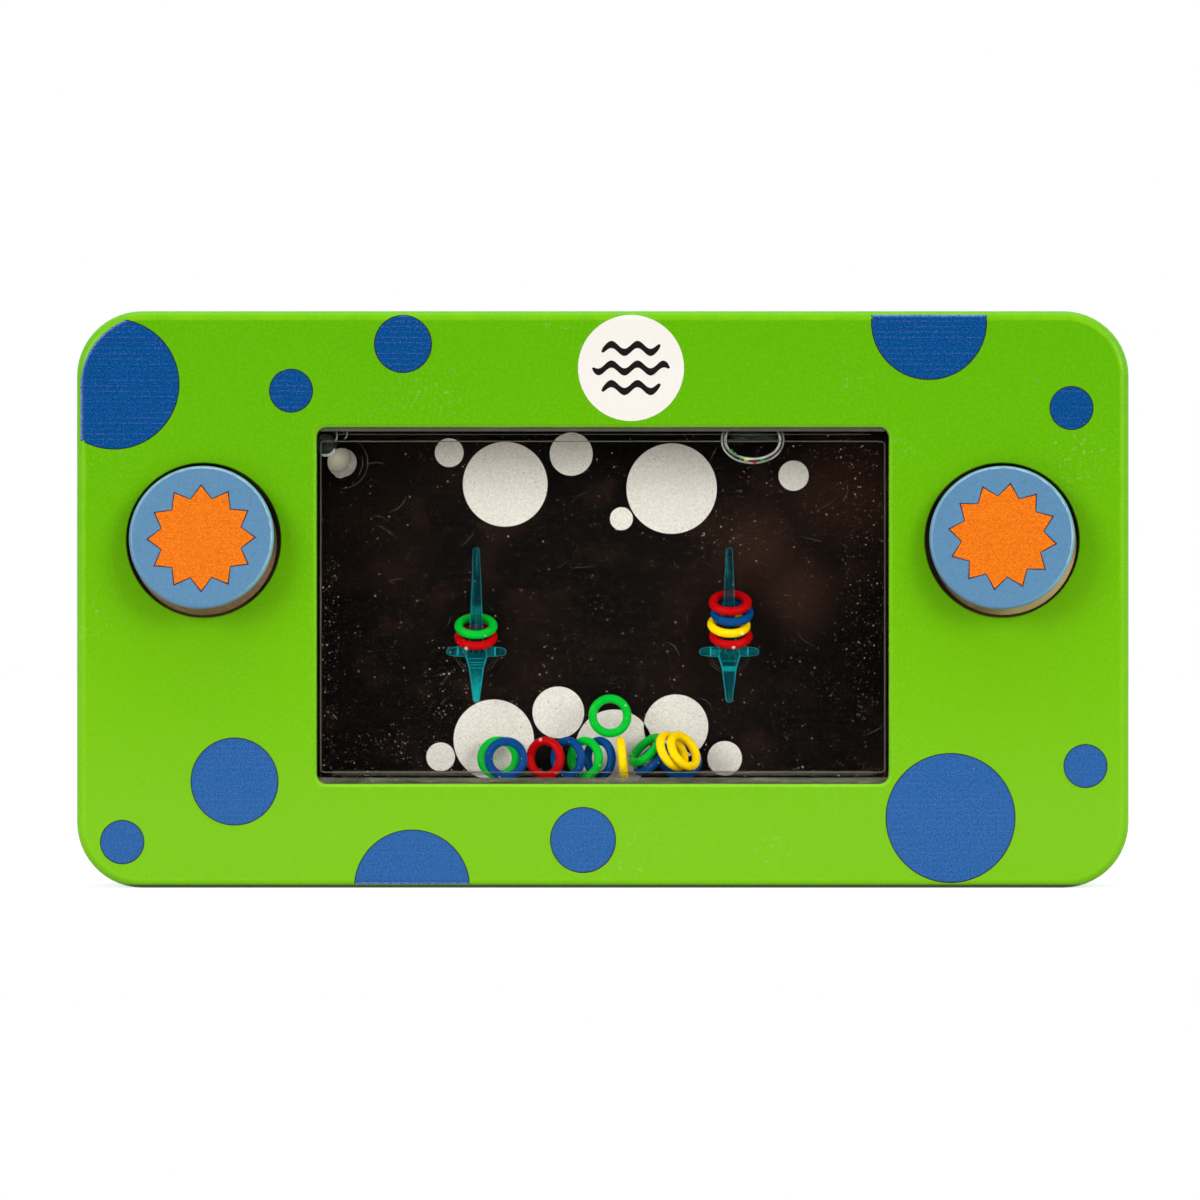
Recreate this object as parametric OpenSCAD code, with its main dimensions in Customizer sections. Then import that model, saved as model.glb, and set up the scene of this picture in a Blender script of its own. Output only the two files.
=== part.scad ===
// Handheld water game: a wooden case with a clear water tank behind a window,
// two sprung buttons that pump the water, two pegs and nineteen loose rings.
// Millimetres. The case stands on its long edge: X to the right, Y to the back, Z up,
// with the origin in the middle of the face that it stands on.

/* [Case] */
// Width of the case beside the window, on each side
side_w = 33; // [30:0.5:40]
// Height of the case
case_h = 79.5; // [76:0.5:90]
// Thickness of the wooden face round the window
face_t = 4; // [3:0.25:5]
// Thickness of the back cover
cover_t = 4; // [3:0.25:6]
// Radius of the four corners
corner_r = 9; // [6:0.5:12]
// Rounding of the front and back edges
edge_r = 1.2; // [0.6:0.1:1.8]
// Bevel along the seam between the case and its cover
seam_bevel = 0.25; // [0.1:0.05:0.5]

/* [Window] */
// Width of the window
window_w = 79; // [74:0.5:82]
// Height of the window
window_h = 49.2; // [46:0.1:52]
// Radius of the window's corners
window_r = 1.4; // [1:0.1:2]
// Height of the window's middle above the standing face
window_z = 38.9; // [36:0.1:41]
// Bevel along the window
window_bevel = 0.4; // [0.2:0.1:0.6]
// How far the clear tray lies behind the face
tray_recess = 0.8; // [0.4:0.1:1.2]

/* [Tank] */
// Thickness of the clear walls
clear_t = 1.5; // [1.2:0.1:1.8]
// Thickness of the clear tray's left and right walls
tray_side_t = 0.5; // [0.4:0.05:1.2]
// Thickness of the clear tray's top wall
tray_top_t = 1.65; // [1:0.05:2]
// Thickness of the clear tray's bottom wall
tray_foot_t = 1.3; // [1:0.05:2]
// Thickness of the tank's four side walls
tank_side_t = 1.8; // [1.4:0.1:2.2]
// How much deeper the chamber is than a ring is wide
ring_play = 2; // [1.8:0.1:3]
// Thickness of the black card behind the tank
card_t = 0.5; // [0.3:0.05:0.8]
// Margin of the card inside the tank's outline
card_margin = 0.5; // [0.2:0.1:1]
// Thickness of the foam pads, pressed
pad_t = 1.5; // [1:0.1:2.5]
// Length of a foam pad
pad_w = 24; // [15:1:30]
// Width of a foam pad
pad_h = 8; // [5:0.5:12]
// Height of the low rims moulded on the inside of the tank
rim_t = 0.8; // [0.5:0.1:1]

/* [Jets and ducts] */
// Distance of each jet from the middle
jet_x = 34; // [31:0.5:35.5]
// Diameter of a jet's nozzle
jet_d = 4; // [3.4:0.1:4.6]
// Height of a nozzle above the tank's floor
jet_h = 1.2; // [0.8:0.1:1.6]
// Diameter of a jet's hole
jet_bore = 1.6; // [1.2:0.1:2]
// Height of the stub that the mould leaves in the ceiling above each jet
stub_h = 0.65; // [0.4:0.05:1]
// Size of a duct's channel, up and down
duct_gap = 2; // [1.6:0.1:2.4]
// Thickness of a duct's walls
duct_t = 1; // [0.8:0.1:1.2]

/* [Buttons] */
// How far each button sits inward of the middle of its side
button_in = 1; // [0:0.25:1.5]
// Height of the buttons above the standing face
button_z = 47.9; // [44:0.1:50]
// Diameter of a button
button_d = 20; // [18:0.25:20.5]
// How far a button's middle stands out of the face
button_out = 4.5; // [4:0.25:6]
// Thickness of a button's wooden disc
button_t = 5; // [4:0.25:5.5]
// Rounding of a button's front edge
button_edge = 0.5; // [0.3:0.1:0.8]
// Gap round a button in its hole
button_gap = 0.6; // [0.5:0.05:0.8]
// Bevel along the button holes
button_bevel = 0.15; // [0.05:0.05:0.3]
// Lean of the left button's disc on its plunger, in degrees
left_lean = 11; // [0:1:12]
// Direction in which the left disc leans, in degrees from straight up to the left
left_turn = 15; // [-90:5:90]
// Lean of the right button's disc on its plunger, in degrees
right_lean = 11; // [0:1:12]
// Direction in which the right disc leans, in degrees from straight up to the left
right_turn = 30; // [-90:5:90]
// How far a button travels
travel = 3; // [2:0.25:3]
// Diameter of a plunger's stem
stem_d = 15; // [12:0.5:17]
// Radius by which a plunger's flange is wider than the button
flange_lap = 1.6; // [1.3:0.1:1.7]
// Thickness of a plunger's flange
flange_t = 1.5; // [1.2:0.1:1.8]

/* [Bellows] */
// Outer diameter of the folds
bellows_d = 15.6; // [14:0.2:15.8]
// Depth of the folds
fold_in = 1.8; // [1.2:0.1:2.2]
// Number of folds
folds = 3; // [2:1:3]
// Thickness of the rubber
rubber_t = 0.7; // [0.5:0.05:0.9]
// Outer diameter of the pump cups
cup_d = 21; // [20.4:0.2:22]
// Thickness of a cup's wall
cup_t = 1.7; // [1.4:0.1:1.8]
// Depth of a cup
cup_depth = 2.5; // [2.2:0.1:2.8]
// Gap between a bellows and its cup's floor
bellows_gap = 0.3; // [0.2:0.05:0.5]

/* [Pegs] */
// Distance of each peg from the middle
peg_x = 17.55; // [16:0.25:20]
// Height of a peg's crossbar above the tank's floor
bar_up = 17.9; // [16:0.25:20]
// Length of the crossbar
bar_len = 8.3; // [7.5:0.1:9]
// Thickness of the crossbar between its shoulders
bar_d = 1.4; // [1.2:0.1:1.5]
// Distance of the crossbar's shoulders from its middle
shoulder_x = 2.6; // [2.2:0.1:3]
// Thickness of the crossbar at its tips
bar_tip_d = 1.1; // [0.9:0.05:1.2]
// Diameter of the nub on the front of the crossbar
nub_d = 1.3; // [1:0.1:1.4]
// Length of the spike above the crossbar
spike_up = 14.5; // [13:0.25:16]
// Length of the spike below the crossbar
spike_down = 7.1; // [6:0.1:8]
// Diameter of the spike at the crossbar
spike_d = 2.1; // [1.9:0.05:2.2]
// Diameter of the spike's rounded tips
tip_d = 0.96; // [0.8:0.02:1.2]
// Diameter of the collar under the crossbar
collar_d = 3.1; // [2.8:0.1:3.4]
// Height of the collar
collar_h = 2.3; // [1.8:0.1:2.8]
// Diameter of the round rim behind each peg
peg_rim_d = 6; // [5:0.2:7]

/* [Rings] */
// Inner diameter of a ring
ring_bore = 3.6; // [3.5:0.05:3.8]
// Thickness of a ring
ring_t = 1.2; // [1.1:0.02:1.22]
// Gap between rings that lie on each other
ring_gap = 0.12; // [0.08:0.01:0.2]
// Lean of the rings on the pegs, in degrees
stack_lean = 30; // [25:1:32]

/* [Filler plug] */
// Distance of the filler plug from the tank's left wall
plug_in = 2.9; // [2.7:0.1:4]
// Distance of the filler plug from the tank's ceiling
plug_down = 4.4; // [3.9:0.1:6]
// Diameter of the plug
plug_d = 4; // [3.5:0.1:4.2]
// Diameter of the plug's head
plug_head_d = 5.8; // [5.4:0.1:6.2]
// Thickness of the plug's head
plug_head_t = 1.1; // [0.8:0.05:1.3]
// Diameter of the rim round the plug
plug_rim_d = 7.2; // [6.6:0.1:7.6]

/* [Screws] */
// Distance of the cover screws from the case's outline
screw_in = 9; // [7:0.5:10]
// Diameter of a screw
screw_d = 3; // [2.5:0.1:3.5]
// Diameter of a screw's head
screw_head_d = 5.6; // [5:0.1:6.4]
// Length of a screw
screw_len = 13; // [10:0.5:14]
// Depth of the cross in a screw's head
cross_depth = 1; // [0.6:0.1:1.4]

/* [Fits] */
// Gap between the clear tray and the window
tray_gap = 0.3; // [0.2:0.05:0.4]
// Gap between the tank and its pocket
pocket_gap = 0.5; // [0.3:0.1:0.8]
// Running gap between parts that slide or plug into each other
fit = 0.05; // [0.03:0.01:0.08]

/* [Hidden] */
$fn = 96;

// Rings
ring_d = ring_bore + 2 * ring_t;
ring_r = ring_d / 2;
ring_mid_r = (ring_bore + ring_t) / 2;

// The stack of layers from the front to the back
chamber_d = ring_d + ring_play;
front_d = face_t + clear_t + chamber_d + clear_t + card_t + pad_t;
case_d = front_d + cover_t;
case_w = window_w + 2 * side_w;
y_front = -case_d / 2;
y_tray = y_front + tray_recess;
y_face = y_front + face_t;
y_chamber = y_face + clear_t;
y_wall = y_chamber + chamber_d;
y_card = y_wall + clear_t;
y_pads = y_card + card_t;
y_split = y_pads + pad_t;
y_back = case_d / 2;
y_mid = (y_chamber + y_wall) / 2;

// The tank's outline
tray_w = window_w - 2 * tray_gap;
tray_h = window_h - 2 * tray_gap;
tray_r = window_r - tray_gap;
chamber_w = tray_w;
chamber_h = tray_h;
tank_w = chamber_w + 2 * tank_side_t;
tank_h = chamber_h + 2 * tank_side_t;
floor_z = window_z - chamber_h / 2;
ceiling_z = window_z + chamber_h / 2;

// The pocket's corners, round enough for a router and sharp enough for the ducts' square corners
pocket_r = 3 * pocket_gap;

// Pump cups, ducts and jets
cup_in_d = cup_d - 2 * cup_t;
y_cup = y_wall - cup_depth;
duct_w = duct_gap + 2 * duct_t;
duct_x = tank_w / 2 + duct_t + duct_gap / 2;
duct_z = floor_z - tank_side_t - duct_gap / 2;
y_duct = y_wall - duct_gap;
port_z = button_z - duct_gap - duct_t;

// Buttons, plungers and bellows
button_x = window_w / 2 + side_w / 2 - button_in;
hole_d = button_d + 2 * button_gap;
flange_d = button_d + 2 * flange_lap;
lobe_d = flange_d + 2 * button_gap + 2 * fit;
y_button = y_front - button_out + button_t / 2;
y_flange = y_face + 2 * fit;
bellows_len = y_wall - bellows_gap - y_flange - flange_t;

// Pegs
bar_z = floor_z + bar_up;
y_peg = y_mid + fit * 4;

// Filler plug
plug_x = -chamber_w / 2 + plug_in;
plug_z = ceiling_z - plug_down;

// Rings on the pegs: the height of each above the crossbar follows from the rings below it
stack_step = (ring_t + ring_gap) / cos(stack_lean);
stack_seat = ring_mid_r * sin(stack_lean) + ring_t / 2 + bar_d / 2 - ring_gap * 4;
y_stack = y_peg - fit * 2;
left_stack = [
    // name, colour, sideways from the peg, extra height, turn of the axis
    ["left_peg_ring_1_red", "red", -0.05, 0, -90],
    ["left_peg_ring_2_green", "limegreen", -0.05, 0, -90]];
right_stack = [
    ["right_peg_ring_1_red", "red", 0.25, 0.13, -90],
    ["right_peg_ring_2_yellow", "gold", -0.05, 0.18, -85],
    ["right_peg_ring_3_blue", "royalblue", 0.4, 0.23, -90],
    ["right_peg_ring_4_red", "red", 0.15, 0.2, -90]];

// Rings on the floor: places are in ring radii, from the middle of the tank's floor
heap = [
    // name, colour, x, y, z, lean of the axis from upright, turn of the axis
    ["floor_ring_01_green", "limegreen", -4.83, 1.07, 1.035, 90, -90],
    ["floor_ring_02_blue", "royalblue", -4.47, -1.1, 1.035, 90, -90],
    ["floor_ring_03_red", "red", -2.66, -0.07, 1.035, 90, 60],
    ["floor_ring_04_blue", "royalblue", -1.615, -0.07, 1.035, 90, 50],
    ["floor_ring_05_green", "limegreen", -0.815, -0.08, 1.035, 90, 52],
    ["floor_ring_06_blue", "royalblue", -0.145, 0.17, 1.035, 90, 44],
    ["floor_ring_07_green", "limegreen", 0.333, 0.183, 2.987, 90, -90],
    ["floor_ring_08_yellow", "gold", 0.907, -0.3, 1.043, 84, 0],
    ["floor_ring_09_green", "limegreen", 2, 0.317, 1.407, 46, -153],
    ["floor_ring_10_blue", "royalblue", 2.25, 0.283, 0.993, 45, -153],
    ["floor_ring_11_yellow", "gold", 3.21, -0.35, 1.367, 64, -37],
    ["floor_ring_12_yellow", "gold", 3.74, -0.45, 1.383, 62, -39],
    ["floor_ring_13_blue", "royalblue", 3.603, 0.667, 0.91, 58, -90]];

// A rectangle with round corners, centred
module round_rect(w, h, r) {
    square([w - 2 * r, h], center = true);
    square([w, h - 2 * r], center = true);
    for (x = [-1, 1], z = [-1, 1])
        translate([x * (w / 2 - r), z * (h / 2 - r)]) circle(r);
}

// An upright plate facing the front, from y to y + t, its middle at [x, z]
module plate(w, h, r, y, t, x = 0, z = 0) {
    translate([x, y + t, z]) rotate([90, 0, 0]) linear_extrude(t) round_rect(w, h, r);
}

// A round bar from y to y + t, its middle at [x, z]
module disc(d, y, t, x = 0, z = 0) {
    translate([x, y, z]) rotate([-90, 0, 0]) cylinder(d = d, h = t);
}

// A box between two corners
module block(from, to) {
    translate(from) cube(to - from);
}

// The outline of a slab's edge: r deep, its far corner rounded and its near one bevelled
module edge_outline(r, t) {
    difference() {
        square([r, t]);
        translate([r - edge_r, t - edge_r]) difference() {
            square(edge_r);
            circle(edge_r);
        }
        polygon([[r - seam_bevel, 0], [r, 0], [r, seam_bevel]]);
    }
}

// A slab with round corners and one rounded face, which lies at z = t
module soft_slab(w, h, r, t) {
    block([-w / 2 + r, -h / 2 + r, 0], [w / 2 - r, h / 2 - r, t]);
    for (side = [0, 180]) rotate([0, 0, side]) {
        translate([w / 2 - r, h / 2 - r, 0]) rotate([90, 0, 0])
            linear_extrude(h - 2 * r) edge_outline(r, t);
        translate([-w / 2 + r, h / 2 - r, 0]) rotate([90, 0, 90])
            linear_extrude(w - 2 * r) edge_outline(r, t);
        translate([w / 2 - r, h / 2 - r, 0]) rotate_extrude(angle = 90) edge_outline(r, t);
        translate([-w / 2 + r, h / 2 - r, 0]) rotate([0, 0, 90])
            rotate_extrude(angle = 90) edge_outline(r, t);
    }
}

// The window with its bevel, cut from the front
module window_cut() {
    bevel_w = window_w + 2 * window_bevel;
    bevel_h = window_h + 2 * window_bevel;
    far = window_r + window_bevel;
    plate(window_w, window_h, window_r, y_front - 1, face_t + 2, z = window_z);
    translate([0, y_front, window_z]) rotate([-90, 0, 0]) {
        for (x = [-1, 1], z = [-1, 1])
            translate([x * (window_w / 2 - window_r), z * (window_h / 2 - window_r), 0])
                cylinder(r1 = far, r2 = window_r, h = window_bevel);
        rotate([90, 0, 0]) linear_extrude(window_h - 2 * window_r, center = true)
            polygon([[-bevel_w / 2, 0], [bevel_w / 2, 0],
                [window_w / 2, window_bevel], [-window_w / 2, window_bevel]]);
        rotate([90, 0, 90]) linear_extrude(window_w - 2 * window_r, center = true)
            polygon([[-bevel_h / 2, 0], [bevel_h / 2, 0],
                [window_h / 2, window_bevel], [-window_h / 2, window_bevel]]);
    }
}

// A button hole with its bevel, cut from the front
module button_hole(x) {
    disc(hole_d, y_front - 1, face_t + 2, x, button_z);
    translate([x, y_front, button_z]) rotate([-90, 0, 0])
        cylinder(d1 = hole_d + 2 * button_bevel, d2 = hole_d, h = button_bevel);
}

// Puts its children at each cover screw, as seen from the front
module at_screws() {
    for (x = [-1, 1], z = [screw_in, case_h - screw_in])
        translate([x * (case_w / 2 - screw_in), 0, z]) children();
}

// The routed pocket: room for the tank, its ducts and the two pumps
module pocket() {
    deep = y_split - y_face + 1;
    bottom = duct_z - duct_gap / 2 - duct_t - pocket_gap;
    top = window_z + tank_h / 2 + pocket_gap;
    plate(tank_w + 2 * duct_w + 2 * pocket_gap, top - bottom, pocket_r, y_face, deep, z = (top + bottom) / 2);
    for (x = [-button_x, button_x]) disc(lobe_d, y_face, deep, x, button_z);
}

module front_case() {
    color("limegreen") difference() {
        translate([0, y_split, case_h / 2]) rotate([90, 0, 0])
            soft_slab(case_w, case_h, corner_r, front_d);
        window_cut();
        for (x = [-button_x, button_x]) button_hole(x);
        pocket();
        at_screws() disc(screw_d + 2 * fit, y_back - screw_len - 1, screw_len, 0, 0);
    }
}

module back_cover() {
    head = (screw_head_d - screw_d) / 2;
    color("limegreen") difference() {
        translate([0, y_split, case_h / 2]) rotate([-90, 0, 0]) soft_slab(case_w, case_h, corner_r, cover_t);
        at_screws() {
            disc(screw_d + 2 * fit, y_split - 1, cover_t + 2, 0, 0);
            translate([0, y_back - head - fit, 0]) rotate([-90, 0, 0])
                cylinder(d1 = screw_d + 2 * fit, d2 = screw_head_d + 4 * fit, h = head + fit);
        }
    }
}

// Countersunk screws with a cross in the head, tapering to a point
module cover_screws() {
    head = (screw_head_d - screw_d) / 2;
    point = screw_d;
    slot = screw_d / 4;
    color("silver") at_screws() translate([0, y_back - fit, 0]) rotate([90, 0, 0]) difference() {
        union() {
            cylinder(d1 = screw_head_d, d2 = screw_d, h = head);
            cylinder(d = screw_d, h = screw_len - point);
            translate([0, 0, screw_len - point]) cylinder(d1 = screw_d, d2 = screw_d / 6, h = point - fit);
        }
        for (a = [0, 90]) rotate([0, 0, a])
            block([-screw_d / 2, -slot / 2, -1], [screw_d / 2, slot / 2, cross_depth]);
    }
}

// One side's pump cup, duct and jet, as solid bodies; side is -1 or 1
module pump_walls(side) {
    mirror([side < 0 ? 1 : 0, 0, 0]) {
        disc(cup_d, y_cup, y_card - y_cup, button_x, button_z);
        block([tank_w / 2 - duct_t, y_cup, duct_z - duct_w / 2],
            [duct_x + duct_w / 2, y_card, port_z + duct_w / 2]);
        block([jet_x - duct_w / 2, y_mid - duct_w / 2, duct_z - duct_w / 2],
            [duct_x + duct_w / 2, y_card, floor_z - tank_side_t / 2]);
        block([tank_w / 2 - duct_t, y_wall, port_z - duct_w], [button_x, y_card, port_z + duct_w]);
        translate([jet_x, y_mid, floor_z - tank_side_t]) cylinder(d = jet_d, h = tank_side_t + jet_h);
        translate([jet_x, y_mid, ceiling_z - stub_h]) cylinder(d = jet_d, h = stub_h + tank_side_t / 2);
    }
}

// The water's way from the cup through the duct and up the jet
module pump_way(side) {
    mirror([side < 0 ? 1 : 0, 0, 0]) {
        disc(cup_in_d, y_cup - 1, cup_depth + 1, button_x, button_z);
        block([duct_x - duct_gap / 2, y_duct, duct_z - duct_gap / 2],
            [duct_x + duct_gap / 2, y_wall, port_z + duct_gap / 2]);
        block([jet_x - duct_gap / 2, y_mid - duct_gap / 2, duct_z - duct_gap / 2],
            [duct_x + duct_gap / 2, y_wall, duct_z + duct_gap / 2]);
        block([duct_x - duct_gap / 2, y_duct, port_z - duct_gap / 2],
            [button_x - cup_in_d / 4, y_wall, port_z + duct_gap / 2]);
        translate([jet_x, y_mid, duct_z]) cylinder(d = jet_bore, h = floor_z - duct_z + jet_h + 1);
    }
}

module tank_body() {
    color("lightcyan", 0.4) difference() {
        union() {
            difference() {
                plate(tank_w, tank_h, tray_r, y_chamber, chamber_d + clear_t, z = window_z);
                plate(chamber_w, chamber_h, tray_r, y_chamber - 1, chamber_d + 1, z = window_z);
            }
            for (x = [-peg_x, peg_x]) disc(peg_rim_d, y_wall - rim_t, rim_t, x, bar_z);
            disc(plug_rim_d, y_wall - rim_t, rim_t, plug_x, plug_z);
            for (side = [-1, 1]) pump_walls(side);
        }
        for (side = [-1, 1]) pump_way(side);
        for (x = [-peg_x, peg_x]) disc(bar_d + 2 * fit, y_wall - rim_t - 1, rim_t + 2, x, bar_z);
        disc(plug_d + 2 * fit, y_wall - rim_t - 1, rim_t + clear_t + 2, plug_x, plug_z);
    }
}

// The clear tray that fills the window, with the flange that closes the tank
module tank_window() {
    color("azure", 0.3) difference() {
        union() {
            plate(tray_w, tray_h, tray_r, y_tray, y_face - y_tray, z = window_z);
            plate(tank_w, tank_h, tray_r, y_face, clear_t, z = window_z);
        }
        plate(tray_w - 2 * tray_side_t, tray_h - tray_top_t - tray_foot_t, tray_r / 2, y_tray + clear_t,
            y_chamber - y_tray, z = window_z + (tray_foot_t - tray_top_t) / 2);
    }
}

module fill_plug() {
    color("whitesmoke") {
        disc(plug_d, y_wall - rim_t, rim_t + clear_t, plug_x, plug_z);
        disc(plug_head_d, y_card, plug_head_t, plug_x, plug_z);
    }
}

module backing_card() {
    color("black") difference() {
        plate(tank_w - 2 * card_margin, tank_h - 2 * card_margin, tray_r, y_card, card_t, z = window_z);
        disc(plug_head_d + 4 * fit, y_card - 1, card_t + 2, plug_x, plug_z);
    }
}

module foam_pads() {
    color("dimgray") for (x = [-1, 1], z = [-1, 1])
        plate(pad_w, pad_h, pad_t, y_pads, pad_t, x * tank_w / 4, window_z + z * tank_h / 4);
}

// A spike with a crossbar, a front nub and a stem that plugs into the tank's back wall
module peg(x) {
    tip_r = tip_d / 2;
    color("darkturquoise", 0.7) translate([x, y_peg, bar_z]) {
        rotate_extrude() polygon([[0, -spike_down + tip_r], [tip_r, -spike_down + tip_r],
            [spike_d / 2, -collar_h], [collar_d / 2, -bar_d / 2], [collar_d / 2, 0],
            [spike_d / 2, bar_d / 2], [tip_r, spike_up - tip_r], [0, spike_up - tip_r]]);
        for (z = [-spike_down + tip_r, spike_up - tip_r]) translate([0, 0, z]) sphere(tip_r);
        rotate([0, 90, 0]) cylinder(d = bar_d, h = 2 * shoulder_x, center = true);
        for (side = [-1, 1]) {
            translate([side * shoulder_x, 0, 0]) rotate([0, side * 90, 0])
                cylinder(d1 = bar_d, d2 = bar_tip_d, h = bar_len / 2 - bar_tip_d / 2 - shoulder_x);
            translate([side * (bar_len - bar_tip_d) / 2, 0, 0]) sphere(d = bar_tip_d);
        }
        rotate([90, 0, 0]) {
            cylinder(d = nub_d, h = (collar_d - tip_d) / 2);
            translate([0, 0, (collar_d - tip_d) / 2]) cylinder(d1 = nub_d, d2 = tip_d, h = tip_r);
        }
        rotate([-90, 0, 0]) cylinder(d = bar_d, h = y_wall + rim_t - y_peg);
    }
}

// The frame of a button's disc: Z points out along its leaning axis, from the middle of the disc's back
module disc_frame(side) {
    lean = side < 0 ? left_lean : right_lean;
    turn = side < 0 ? left_turn : right_turn;
    translate([side * button_x, y_button, button_z]) rotate([90, 0, 0]) rotate([0, 0, turn])
        rotate([-lean, 0, 0]) translate([0, 0, -button_t / 2]) children();
}

// The wooden disc of a button, its front edge rounded, leaning about its own middle
module button(side) {
    r = button_d / 2;
    color("steelblue") disc_frame(side) rotate_extrude() {
        square([r, button_t - button_edge]);
        square([r - button_edge, button_t]);
        translate([r - button_edge, button_t - button_edge]) circle(button_edge);
    }
}

// The plastic plunger glued to the disc: a stem cut to the disc's lean, and the flange that keeps it in
module retainer(side) {
    x = side * button_x;
    color("gainsboro") difference() {
        union() {
            disc(stem_d, y_button, y_flange - y_button, x, button_z);
            disc(flange_d, y_flange, flange_t, x, button_z);
        }
        disc(stem_d / 2, y_button - 1, y_flange - y_button + 1, x, button_z);
        disc_frame(side) cylinder(d = 2 * button_d, h = button_t);
    }
}

// A rubber tube with sharp folds, open at both ends
module bellows(side) {
    step = bellows_len / (2 * folds);
    wave = [for (i = [0 : 2 * folds]) [bellows_d / 2 - (i % 2 == 0 ? fold_in : 0), i * step]];
    inner = [for (i = [2 * folds : -1 : 0]) wave[i] - [rubber_t * 1.5, 0]];
    color("dimgray") translate([side * button_x, y_wall - bellows_gap, button_z]) rotate([90, 0, 0])
        rotate_extrude() polygon(concat(wave, inner));
}

module ring(colour, place, lean, turn) {
    color(colour) translate(place) rotate([0, lean, turn])
        rotate_extrude() translate([ring_mid_r, 0]) circle(d = ring_t, $fn = 48);
}

// The ring with number i in a stack on the peg at x
module stacked_ring(stack, x, i) {
    ring(stack[i][1], [x + stack[i][2], y_stack, bar_z + stack_seat + i * stack_step + stack[i][3]],
        stack_lean, stack[i][4]);
}

// The ring with number i in the heap on the floor
module heap_ring(i) {
    ring(heap[i][1], [heap[i][2] * ring_r, y_mid + heap[i][3] * ring_r, floor_z + heap[i][4] * ring_r],
        heap[i][5], heap[i][6]);
}

front_case();
back_cover();
cover_screws();
tank_body();
tank_window();
fill_plug();
backing_card();
foam_pads();
peg(-peg_x);  // left_peg
peg(peg_x);  // right_peg
button(-1);  // left_button
button(1);  // right_button
retainer(-1);  // left_retainer
retainer(1);  // right_retainer
bellows(-1);  // left_bellows
bellows(1);  // right_bellows
for (i = [0 : len(left_stack) - 1])
    stacked_ring(left_stack, -peg_x, i);
for (i = [0 : len(right_stack) - 1])
    stacked_ring(right_stack, peg_x, i);
for (i = [0 : len(heap) - 1])
    heap_ring(i);
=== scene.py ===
"""Looks of the handheld water game: a painted wooden case with a clear water tank,
two printed push buttons, two pegs and nineteen loose rings.

Metres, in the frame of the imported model: X to the right, Y to the back, Z up.
"""

import math
import random
from functools import partialmethod, reduce

import bmesh
import bpy
from mathutils import Euler, Matrix, Vector


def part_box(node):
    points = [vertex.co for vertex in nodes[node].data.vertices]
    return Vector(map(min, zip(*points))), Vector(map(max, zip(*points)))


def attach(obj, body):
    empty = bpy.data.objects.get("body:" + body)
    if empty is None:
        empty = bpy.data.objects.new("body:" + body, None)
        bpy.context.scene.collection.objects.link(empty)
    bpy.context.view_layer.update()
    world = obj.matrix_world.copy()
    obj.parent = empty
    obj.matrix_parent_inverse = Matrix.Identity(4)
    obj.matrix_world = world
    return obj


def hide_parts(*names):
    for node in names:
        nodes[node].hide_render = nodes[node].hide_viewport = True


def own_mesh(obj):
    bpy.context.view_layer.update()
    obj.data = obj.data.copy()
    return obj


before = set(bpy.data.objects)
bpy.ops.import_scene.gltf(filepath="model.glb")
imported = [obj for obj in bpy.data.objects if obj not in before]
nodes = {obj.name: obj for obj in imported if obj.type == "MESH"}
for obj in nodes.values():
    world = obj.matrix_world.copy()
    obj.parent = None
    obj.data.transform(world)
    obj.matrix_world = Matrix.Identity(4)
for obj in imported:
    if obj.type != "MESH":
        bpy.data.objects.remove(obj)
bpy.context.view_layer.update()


def middle_of(name):
    return sum(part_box(name), Vector()) / 2


MM = 0.001
X, Y, Z = (1, 0, 0), (0, 1, 0), (0, 0, 1)

# The photograph: its width in pixels, its scale on the front face, and the pixel at the case's middle
PHOTO_PX = 1200
PX_PER_M = 7260
MIDDLE_PX = (602.8, 599.4)
VIEW_DISTANCE = 1.2
SENSOR_MM = 36

# The case, its window and its button holes
CASE_LOW, CASE_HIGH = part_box("front_case")
FACE_Y = CASE_LOW.y
CASE_MID_Z = (CASE_LOW.z + CASE_HIGH.z) / 2
CASE_CORNER = 9 * MM
EDGE_R = 1.2 * MM
FACE_T = 4 * MM
WALL_T = 3.3 * MM
WINDOW_HALF = Vector((39.5, 24.6)) * MM
WINDOW_MID_Z = 38.9 * MM
WINDOW_R = 1.4 * MM
BUTTON = middle_of("right_retainer")
HOLE_R = 10.6 * MM

# The clear tray behind the window, and the chamber that holds the water
TRAY_LOW, TRAY_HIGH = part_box("tank_window")
CARD_LOW, CARD_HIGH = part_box("backing_card")
CLEAR_T = 1.5 * MM
SIDE_T = 1.8 * MM
CHAMBER_LOW = Vector((TRAY_LOW.x + SIDE_T, TRAY_HIGH.y, TRAY_LOW.z + SIDE_T))
CHAMBER_HIGH = Vector((TRAY_HIGH.x - SIDE_T, 3 * MM, TRAY_HIGH.z - SIDE_T))
CHAMBER_MID_Y = (CHAMBER_LOW.y + CHAMBER_HIGH.y) / 2

# The clear tray's hollow, as seen from the front
HOLLOW_LOW = Vector((CHAMBER_LOW.x + 0.3 * MM, CHAMBER_LOW.z + 1.3 * MM))
HOLLOW_HIGH = Vector((CHAMBER_HIGH.x - 0.3 * MM, CHAMBER_HIGH.z - 1.65 * MM))
HOLLOW_R = 0.55 * MM

# The pegs' crossbars lie this far above their feet
PEG_BAR_UP = 7.1 * MM

# Rims round the pegs' stems and the filler plug, and the height of the rims
PEG_RIM_R = 3 * MM
PLUG_RIM_R = 3.6 * MM
RIM_T = 0.8 * MM

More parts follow.
